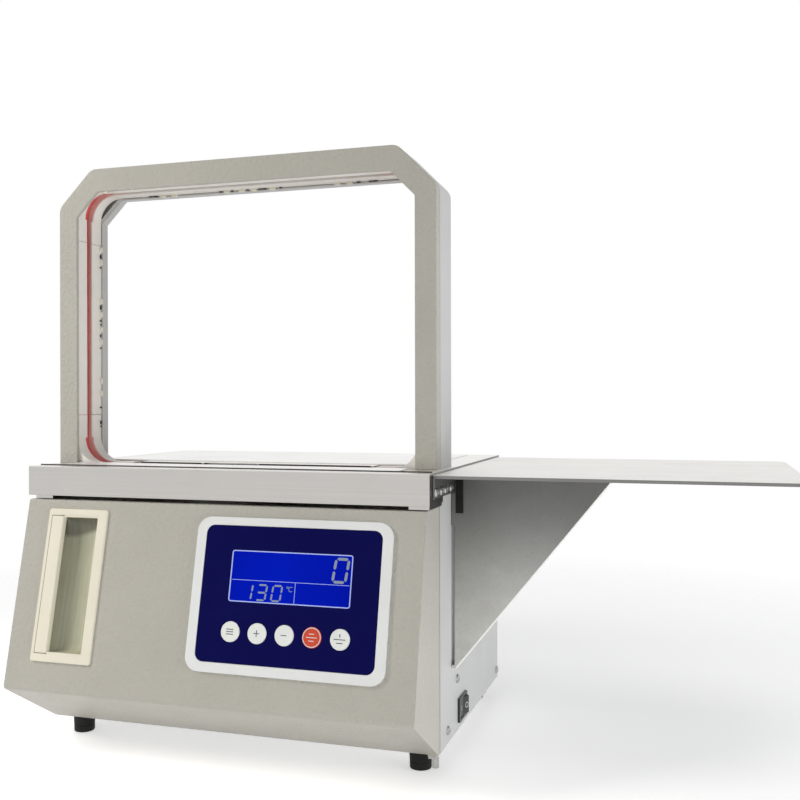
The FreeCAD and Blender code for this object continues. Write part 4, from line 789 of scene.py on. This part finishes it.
KEYS = {"menu": 30.3, "plus": 57.65, "minus": 85.0, "reset": 112.35, "mode": 139.7}
KEY_DROP = -118.0
KEY_MARKS = {
    "menu": [[(-3.6, 2.2), (3.6, 2.2)], [(-3.6, 0.0), (3.6, 0.0)], [(-3.6, -2.2), (3.6, -2.2)]],
    "plus": [[(-2.9, 0.0), (2.9, 0.0)], [(0.0, -2.9), (0.0, 2.9)]],
    "minus": [[(-2.9, 0.0), (2.9, 0.0)]],
    "reset": [[(-5.2, 0.0), (5.2, 0.0)], [(-2.6, 3.1), (2.6, 3.1)], [(-2.6, -3.1), (2.6, -3.1)]],
    "mode": [[(-5.6, 0.0), (5.6, 0.0)], [(0.0, 1.9), (0.0, 5.0)], [(-3.0, -3.2), (3.0, -3.2)]],
}
CAP_TOP = 3.9
CAP_RADIUS = 8.75
CAP_EDGE = 0.8
SCREEN = (25.0, 147.0, -90.2, -42.2)
SCREEN_TOP = 2.3
SCREEN_SPLIT = -69.8


def cap(across):
    """A round cap: a turned profile with a small radius at the rim and a low dome."""
    dome = sizes().cap_dome / MM
    rim = CAP_TOP - dome
    angle = np.linspace(0.0, math.pi / 2, 6)
    corner = [(CAP_RADIUS + CAP_EDGE * math.cos(a), rim - CAP_EDGE + CAP_EDGE * math.sin(a)) for a in angle]
    crown = [(CAP_RADIUS * (1 - s), rim + dome * (1 - (1 - s) ** 2)) for s in np.linspace(0.1, 1.0, 8)]
    profile = [(0.0, -2.6), (10.9, -2.6), (10.9, -1.2), (9.55, -1.2)] + corner + crown
    return sheet_of(turned(across, KEY_DROP, profile), False, True)


def line(start, end, width, base, height):
    return band([start, end], width, base, height)


def segment(start, end, width, base, height):
    """A display segment: a strip whose two ends run to a point."""
    start, end = np.asarray(start, float), np.asarray(end, float)
    along = (end - start) / np.linalg.norm(end - start)
    path = [start, start + along * width / 2, end - along * width / 2, end]
    return band(path, [0.1 * width, width, width, 0.1 * width], base, height)


DIGITS = {"0": "abcdef", "1": "bc", "3": "abgcd"}


def digit(figure, left, bottom, wide, tall, width, base, height):
    """A seven-segment figure. It leans to the right by 0.12 of its height."""
    def corner(x, y):
        return (left + x * wide + 0.12 * y * tall, bottom + y * tall)
    gap = 0.035
    ends = {
        "a": (corner(gap * 2, 1), corner(1 - gap * 2, 1)), "b": (corner(1, 1 - gap), corner(1, 0.5 + gap)),
        "c": (corner(1, 0.5 - gap), corner(1, gap)), "d": (corner(gap * 2, 0), corner(1 - gap * 2, 0)),
        "e": (corner(0, 0.5 - gap), corner(0, gap)), "f": (corner(0, 1 - gap), corner(0, 0.5 + gap)),
        "g": (corner(gap * 2, 0.5), corner(1 - gap * 2, 0.5)),
    }
    return [segment(*ends[name], width, base, height) for name in DIGITS[figure]]


def arc(across, up, radius, first, last, steps=24):
    angle = np.radians(np.linspace(first, last, steps))
    return np.stack([across + radius * np.cos(angle), up + radius * np.sin(angle)], axis=-1)


class STRAPPER_OT_keys(Operator):
    """Make the five button caps and their generic marks"""
    bl_idname = "strapper.keys"
    bl_label = "Button caps"

    def execute(self, context):
        height = sizes().mark_height / MM

        def stroke(across, points):
            path = np.asarray(points) + (across, KEY_DROP)
            return on_face(band(path, 0.7, CAP_TOP - 0.03, height))

        for name, across in KEYS.items():
            red = name == "reset"
            piece = make_piece("cap_" + name, [on_face(cap(across))], "cap_red" if red else "cap_white",
                               name + "_key")
            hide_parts("button_" + name)
            strokes = [stroke(across, points) for points in KEY_MARKS[name]]
            if red:
                rim = circle(across, KEY_DROP, 8.55)
                strokes.append(on_face(band(rim, 0.75, CAP_TOP - 0.58, 0.14, True)))
            make_piece("mark_" + name, strokes, "mark_white" if red else "mark_dark",
                       name + "_key")
        return {"FINISHED"}


class STRAPPER_OT_display(Operator):
    """Make the display's frame, lines and figures"""
    bl_idname = "strapper.display"
    bl_label = "Display figures"

    def execute(self, context):
        base, height = SCREEN_TOP, sizes().mark_height / MM
        left, right, bottom, top = SCREEN
        edge = rounded_outline(left + 0.5, right - 0.5, bottom + 0.5, top - 0.5, 2.0)
        keep = np.concatenate([[True], np.linalg.norm(np.diff(edge, axis=0), axis=1) > 1e-6])
        lines = [
            band(edge[keep], 0.95, base - 0.1, height + 0.6, True),
            line((left + 2, SCREEN_SPLIT), (right - 2, SCREEN_SPLIT), 0.45, base, height),
            line((91.7, SCREEN_SPLIT - 0.2), (91.7, bottom + 1), 0.45, base, height),
        ]
        make_piece("display_lines", [on_face(part) for part in lines], "frame_pale", "door")
        figures = digit("0", 128.0, -67.2, 12.5, 21.0, 2.6, base, height)
        for name, place in (("1", 38.5), ("3", 53.0), ("0", 68.3)):
            figures += digit(name, place, -87.6, 9.0, 14.0, 1.7, base, height)
        figures.append(band(circle(84.2, -74.6, 0.9, 20), 0.45, base, height, True))
        figures.append(band(arc(87.7, -76.2, 2.1, 50, 310), 0.55, base, height))
        make_piece("display_figures", [on_face(part) for part in figures], "segment_grey", "door")
        return {"FINISHED"}


# Small hardware

SIDE_WALL = 212.86
SIDE_SCREWS = ((-62, 73), (-101, 32.5), (138, 29.5), (130, 240))
TABLE_FLANGE = (216.87, 272)
TABLE_SCREWS = (160, 141, 125, 104)
HEAD_RADIUS = 4.55
FOOT_PROFILE = [
    (0.0, 2.2), (3.4, 2.2), (3.4, 0.4), (4.0, 0.0), (9.6, 0.0), (10.4, 0.35), (10.75, 1.2), (10.8, 6.0),
    (10.9, 6.6), (10.5, 7.0), (10.5, 7.8), (10.9, 8.2), (11.2, 13.0), (11.4, 18.6), (11.0, 19.2),
    (10.2, 19.4), (0.0, 19.4),
]
FOOT_ACROSS = 190
FOOT_ALONG = 118

# Clips and notches on the guides' rear edge: heights on the left and right, places along the top
# and in front of it. A notch also has its half length.
CLIPS_LEFT = (528, 514, 470, 455, 438, 424, 380, 366)
CLIPS_TOP = (-118, -104, -40, -22, -8, 14, 88, 102)
CLIPS_RIGHT = (520, 460, 400, 350)
CLIPS_FRONT = (-161.0, -128.5)
NOTCHES_LEFT = ((520.5, 2.6), (515.5, 1.2), (508, 1.0), (463, 2.8), (448, 1.2), (443.5, 0.8), (431, 1.8),
                (417, 0.9), (350, 1.2), (333, 2.2), (328.5, 0.9))
NOTCHES_TOP = ((-133, 2.6), (-127, 3.8), (-46, 3.0), (-33, 1.8), (-15, 1.6), (0, 2.2), (5, 3.2), (24, 1.8),
               (112, 2.6), (125, 2.0), (130, 3.6))


def screw_head(spot, side, steps):
    """A pan head on a square grid bent to a disc: rise = h (1 - r^2)^0.5 less a cross-shaped slot
    whose depth fades at the ends of its arms. side is the sign of the panel's outward X."""
    u, v = np.meshgrid(np.linspace(-1, 1, steps), np.linspace(-1, 1, steps), indexing="ij")
    x, y = u * np.sqrt(1 - v * v / 2), v * np.sqrt(1 - u * u / 2)
    r = np.clip(np.hypot(x, y), 0.0, 1.0)
    rise = 0.35 + 2.4 * np.sqrt(np.clip(1 - r * r, 0.0, 1.0))
    arm = np.minimum(np.abs(x), np.abs(y))
    slot = np.clip((0.17 - arm) / 0.06, 0.0, 1.0) * np.clip((0.62 - r) / 0.12, 0.0, 1.0)
    rise = rise - 1.1 * slot
    turn = math.radians(28 + 37 * spot[1])
    y_turned = x * math.cos(turn) - y * math.sin(turn)
    z_turned = x * math.sin(turn) + y * math.cos(turn)
    top = np.stack([spot[0] + side * rise, spot[1] + HEAD_RADIUS * y_turned,
                    spot[2] + HEAD_RADIUS * z_turned], axis=-1)
    rim = np.concatenate([top[0, :-1], top[:-1, -1], top[-1, :0:-1], top[:0:-1, 0]])
    foot = rim.copy()
    foot[:, 0] = spot[0]
    centre = np.broadcast_to(np.array(spot, float), rim.shape)
    wall = sheet_of(np.stack([rim, foot, centre]), False, True)
    return in_metres(joined([sheet_of(top), wall]))


class STRAPPER_OT_screws(Operator):
    """Make the round screw heads with their cross slots"""
    bl_idname = "strapper.screws"
    bl_label = "Screw heads"

    def execute(self, context):
        steps = sizes().screw_steps
        heads = [screw_head((side * SIDE_WALL, y, z), side, steps)
                 for side in (1, -1) for y, z in SIDE_SCREWS]
        across, up = TABLE_FLANGE
        heads += [screw_head((across, -y, up), 1, steps) for y in TABLE_SCREWS]
        piece = make_piece("screw_heads", heads, "bright_screw", "housing", sharp=50)
        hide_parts("round_head_screws")
        return {"FINISHED"}


class STRAPPER_OT_feet(Operator):
    """Make the rubber feet with their rounded soles and grooves"""
    bl_idname = "strapper.feet"
    bl_label = "Rubber feet"

    def execute(self, context):
        feet = [in_metres(sheet_of(turned(across, along, FOOT_PROFILE, 72), False, True))
                for across in (-FOOT_ACROSS, FOOT_ACROSS) for along in (-FOOT_ALONG, FOOT_ALONG)]
        piece = make_piece("feet_turned", feet, "black_rubber", "housing")
        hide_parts("rubber_feet")
        return {"FINISHED"}


class STRAPPER_OT_switch_marks(Operator):
    """Put the ring and the bar on the rocker"""
    bl_idname = "strapper.switch_marks"
    bl_label = "Switch marks"

    def execute(self, context):
        height = sizes().mark_height / MM
        slope = math.atan2(4.8, 14.0)
        ring = band(circle(0.0, 0.0, 2.6, 32), 0.6, 0.0, height, True)
        bar = line((0.0, -2.6), (0.0, 2.6), 0.6, 0.0, height)
        pieces = []
        for (points, quads), centre, lean in ((ring, (217.0, -36.2, 39.0), slope),
                                              (bar, (214.6, -49.5, 39.0), 0.0)):
            along = (math.sin(lean), math.cos(lean), 0.0)
            out = (math.cos(lean), -math.sin(lean), 0.0)
            turn = np.array([along, (0.0, 0.0, 1.0), out])
            pieces.append(in_metres((points @ turn + np.array(centre), quads)))
        make_piece("rocker_marks", pieces, "mark_white", "rocker")
        return {"FINISHED"}


class STRAPPER_OT_guide_clips(Operator):
    """Make the small moulded clips along the rear edge of the tape guides, and dark marks of painted shade in
    its notches
    """
    bl_idname = "strapper.guide_clips"
    bl_label = "Guide clips"

    def execute(self, context):
        upright, level = (1.3, 1.5, 3.2), (3.4, 1.5, 1.2)
        clips = [pebble((-197.3, -74.6, up), upright, 0.3, 8) for up in CLIPS_LEFT]
        clips += [pebble((across, -74.6, 583.9), level, 0.3, 8) for across in CLIPS_TOP]
        clips += [pebble((186.3, -74.6, up), upright, 0.3, 8) for up in CLIPS_RIGHT]
        clips += [pebble((across, -118.6, 582.3), (1.7, 1.3, 1.5), 0.8, 10) for across in CLIPS_FRONT]
        make_piece("guide_clips", [in_metres(clip) for clip in clips], "cream_plastic", "housing")
        # Dark marks of painted shade where the rear edge has notches
        notches = [pebble((-197.5, -75.4, up), (0.9, 0.7, half), 0.7, 8) for up, half in NOTCHES_LEFT]
        notches += [pebble((across, -75.4, 584.2), (half, 0.7, 0.8), 0.7, 8) for across, half in NOTCHES_TOP]
        make_piece("guide_notch_shade", [in_metres(notch) for notch in notches], "painted_shade_dark", "housing")
        return {"FINISHED"}


def straight_strip(start, end, width, height):
    """A bar along X with a rectangular section, its top edges cut by a small slope: five corners of
    the section, moved from one end to the other. Sizes in millimetres."""
    x, y, z = start
    section = np.array([(y, z), (y, z + 0.7 * height), (y + 0.3 * width, z + height), (y + width, z + height),
                        (y + width, z)])
    centre = np.broadcast_to(section.mean(axis=0), section.shape)
    rows = np.stack([centre, section, section, centre])
    places = np.broadcast_to(np.array([x, x, end, end])[:, None, None], (4, 5, 1))
    return in_metres(sheet_of(np.concatenate([places, rows], axis=-1), False, True))


class STRAPPER_OT_shade_and_highlight(Operator):
    """Make the dark strips of painted shade on the deck and the painted highlight along the front gusset's
    slant
    """
    bl_idname = "strapper.seams"
    bl_label = "Shade strips and rim highlight"

    def execute(self, context):
        # Dark strips of painted shade: along the front plate's front edge and along the far wall of the two
        # slots
        shade_strips = [straight_strip((-215.0, -158.2, 289.9), 213.0, 1.0, 1.25),
                 straight_strip((-139.5, -84.6, 288.9), -66.5, 0.5, 1.3),
                 straight_strip((2.5, -84.6, 288.9), 127.5, 0.5, 1.3)]
        make_piece("deck_shade_strips", shade_strips, "painted_shade_dark", "housing")
        # Painted highlight: a pale glowing strip along the front gusset's slant
        foot, tip, front = (217.9, 90.6), (370.6, 279.6), -86.05
        points, quads = line(foot, tip, 1.3, 0.0, 0.5)
        rim = np.stack([points[:, 0], front - points[:, 2], points[:, 1]], axis=-1)
        make_piece("gusset_rim_highlight", [in_metres((rim, quads))], "painted_rim_highlight", "housing")
        return {"FINISHED"}


class STRAPPER_OT_finishes(Operator):
    """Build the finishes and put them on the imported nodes"""
    bl_idname = "strapper.finishes"
    bl_label = "Finishes"

    def execute(self, context):
        build_groups()
        build_finishes()
        dress_nodes()
        return {"FINISHED"}


class STRAPPER_OT_soft_edges(Operator):
    """Round the edges of the sheet metal and of the moulded parts"""
    bl_idname = "strapper.soft_edges"
    bl_label = "Soft edges"

    def execute(self, context):
        for radius, names in (
                (sizes().edge_radius, ("deck_tray", "door_shell", "extension_table", "table_plate_front",
                                       "table_plate_rear")),
                (sizes().broad_radius, ("gusset_front", "gusset_rear", "arch_front_frame")),
                (sizes().moulded_radius, ("panel_bezel", "switch_frame", "switch_rocker", "power_inlet"))):
            for name in names:
                soften(name, radius)
        return {"FINISHED"}


# Stage: a pale floor that fades out, soft lamps, and the camera of the photograph

FLOOR_HALF = 4.0
FLOOR_DROP = 0.0002
FADE_NEAR, FADE_FAR = 0.45, 1.25
WORLD_LIGHT, WORLD_SEEN = 0.15, 1.0
CAMERA_PLACE = (0.4505, -1.0352, 0.3579)
CAMERA_TURN = (89.99, 0.12, 17.03)
CAMERA_LENS = 44.03

# Lamps: name, place, target, size, watts, colour
LAMPS = (
    ("key", (-0.86, -0.80, 0.88), (-0.1, 0.0, 0.3), (0.4, 0.4), 8.6, (1.0, 0.985, 0.95)),
    ("fill", (0.35, -1.45, 0.10), (0.0, -0.1, 0.1), (1.2, 0.3), 3.6, (1.0, 0.99, 0.96)),
    ("right", (1.6, -0.35, 0.12), (0.2, 0.0, 0.1), (1.0, 0.4), 15.0, (0.96, 0.98, 1.0)),
    ("top", (0.1, -0.5, 2.3), (0.1, 0.0, 0.2), (1.6, 1.2), 8.0, WHITE),
)


def add_lamp(name, place, target, size, watts, colour):
    """A rectangular lamp that looks from its place to its target and isn't seen in mirrors."""
    lamp = bpy.data.lights.new(name, "AREA")
    lamp.shape = "RECTANGLE"
    lamp.size, lamp.size_y = size
    lamp.energy = watts
    lamp.color = colour
    holder = add_object(name, lamp)
    holder.visible_glossy = False
    holder.location = place
    x, y, z = np.array(target, float) - np.array(place, float)
    holder.rotation_euler = (math.atan2(math.hypot(x, y), -z), 0.0, math.atan2(y, x) - math.pi / 2)


def seen_rays(tree):
    """1 for the rays that show the stage to the camera, in mirrors or through glass."""
    rays = put(tree, "ShaderNodeLightPath").outputs
    shown = calculate(tree, "MAXIMUM", rays["Is Camera Ray"], rays["Is Glossy Ray"])
    return calculate(tree, "MAXIMUM", shown, rays["Is Transmission Ray"])


def backdrop_world():
    """The world lights the object at one level and shows the camera, and mirrors, another."""
    world = bpy.data.worlds.new("Studio")
    bpy.context.scene.world = world
    world.use_nodes = True
    tree = world.node_tree
    tree.nodes.clear()
    plain = put(tree, "ShaderNodeBackground", Color=(0.97, 0.98, 1.0, 1.0), Strength=WORLD_LIGHT)
    bright = put(tree, "ShaderNodeBackground", Color=tone(WHITE, 1.0), Strength=WORLD_SEEN)
    mix = put(tree, "ShaderNodeMixShader", in_0=seen_rays(tree), in_1=plain.outputs[0],
              in_2=bright.outputs[0])
    put(tree, "ShaderNodeOutputWorld", Surface=mix.outputs[0])


def stage_floor():
    """A square whose pale colour lights the object less than it shows, and that fades with distance."""
    tree, shader = new_finish("stage_floor", Roughness=0.9, Emission_Strength=0.50)
    place = object_space(tree)
    grain = noise(tree, place, 3.0, 2.0, 0.5)
    reach = put(tree, "ShaderNodeVectorMath", {"operation": "LENGTH"}, in_0=place).outputs["Value"]
    feed(shader, Base_Color=two_tones(tree, grain, WHITE, 0.94, 0.96),
         Emission_Color=two_tones(tree, seen_rays(tree), WHITE, 0.36, 1.0),
         Alpha=spread(tree, reach, FADE_NEAR, FADE_FAR, 1.0, 0.0))
    corners = [(x * FLOOR_HALF, y * FLOOR_HALF, -FLOOR_DROP) for x, y in ((-1, -1), (1, -1), (1, 1), (-1, 1))]
    mesh = bpy.data.meshes.new("stage_floor")
    mesh.from_pydata(corners, [], [[0, 1, 2, 3]])
    mesh.materials.append(FINISHES["stage_floor"])
    return add_object("stage_floor", mesh)


class STRAPPER_OT_stage(Operator):
    """Set up the floor, the lamps and the camera"""
    bl_idname = "strapper.stage"
    bl_label = "Stage"

    def execute(self, context):
        floor = stage_floor()
        backdrop_world()
        for lamp in LAMPS:
            add_lamp(*lamp)
        camera = bpy.data.cameras.new("camera")
        camera.sensor_width = 36.0
        camera.lens = CAMERA_LENS
        camera.dof.use_dof = False
        holder = add_object("camera", camera)
        holder.location = CAMERA_PLACE
        holder.rotation_euler = [math.radians(angle) for angle in CAMERA_TURN]
        context.scene.camera = holder
        context.scene.view_settings.view_transform = "Standard"
        return {"FINISHED"}


class STRAPPER_PT_pieces(Panel):
    bl_idname = "STRAPPER_PT_pieces"
    bl_label = "Strapping machine"
    bl_space_type = "VIEW_3D"
    bl_region_type = "UI"
    bl_category = "Strapper"

    def draw(self, context):
        for group in (context.scene.strapper_sizes, context.scene.strapper_colours):
            for name in group.bl_rna.properties.keys():
                if name not in ("rna_type", "name"):
                    self.layout.prop(group, name)
        for operator in OPERATORS:
            self.layout.operator(operator.bl_idname)


OPERATORS = (
    STRAPPER_OT_stage, STRAPPER_OT_finishes, STRAPPER_OT_soft_edges, STRAPPER_OT_pull, STRAPPER_OT_keys,
    STRAPPER_OT_display, STRAPPER_OT_screws, STRAPPER_OT_feet, STRAPPER_OT_switch_marks,
    STRAPPER_OT_guide_clips, STRAPPER_OT_shade_and_highlight,
)
CLASSES = (StrapperSizes, StrapperColours) + OPERATORS + (STRAPPER_PT_pieces,)


def register():
    for cls in CLASSES:
        bpy.utils.register_class(cls)
    bpy.types.Scene.strapper_sizes = PointerProperty(type=StrapperSizes)
    bpy.types.Scene.strapper_colours = PointerProperty(type=StrapperColours)


def unregister():
    del bpy.types.Scene.strapper_colours
    del bpy.types.Scene.strapper_sizes
    for cls in reversed(CLASSES):
        bpy.utils.unregister_class(cls)


def main():
    register()
    for operator in OPERATORS:
        group, name = operator.bl_idname.split(".")
        getattr(getattr(bpy.ops, group), name)()


if __name__ == "__main__":
    main()
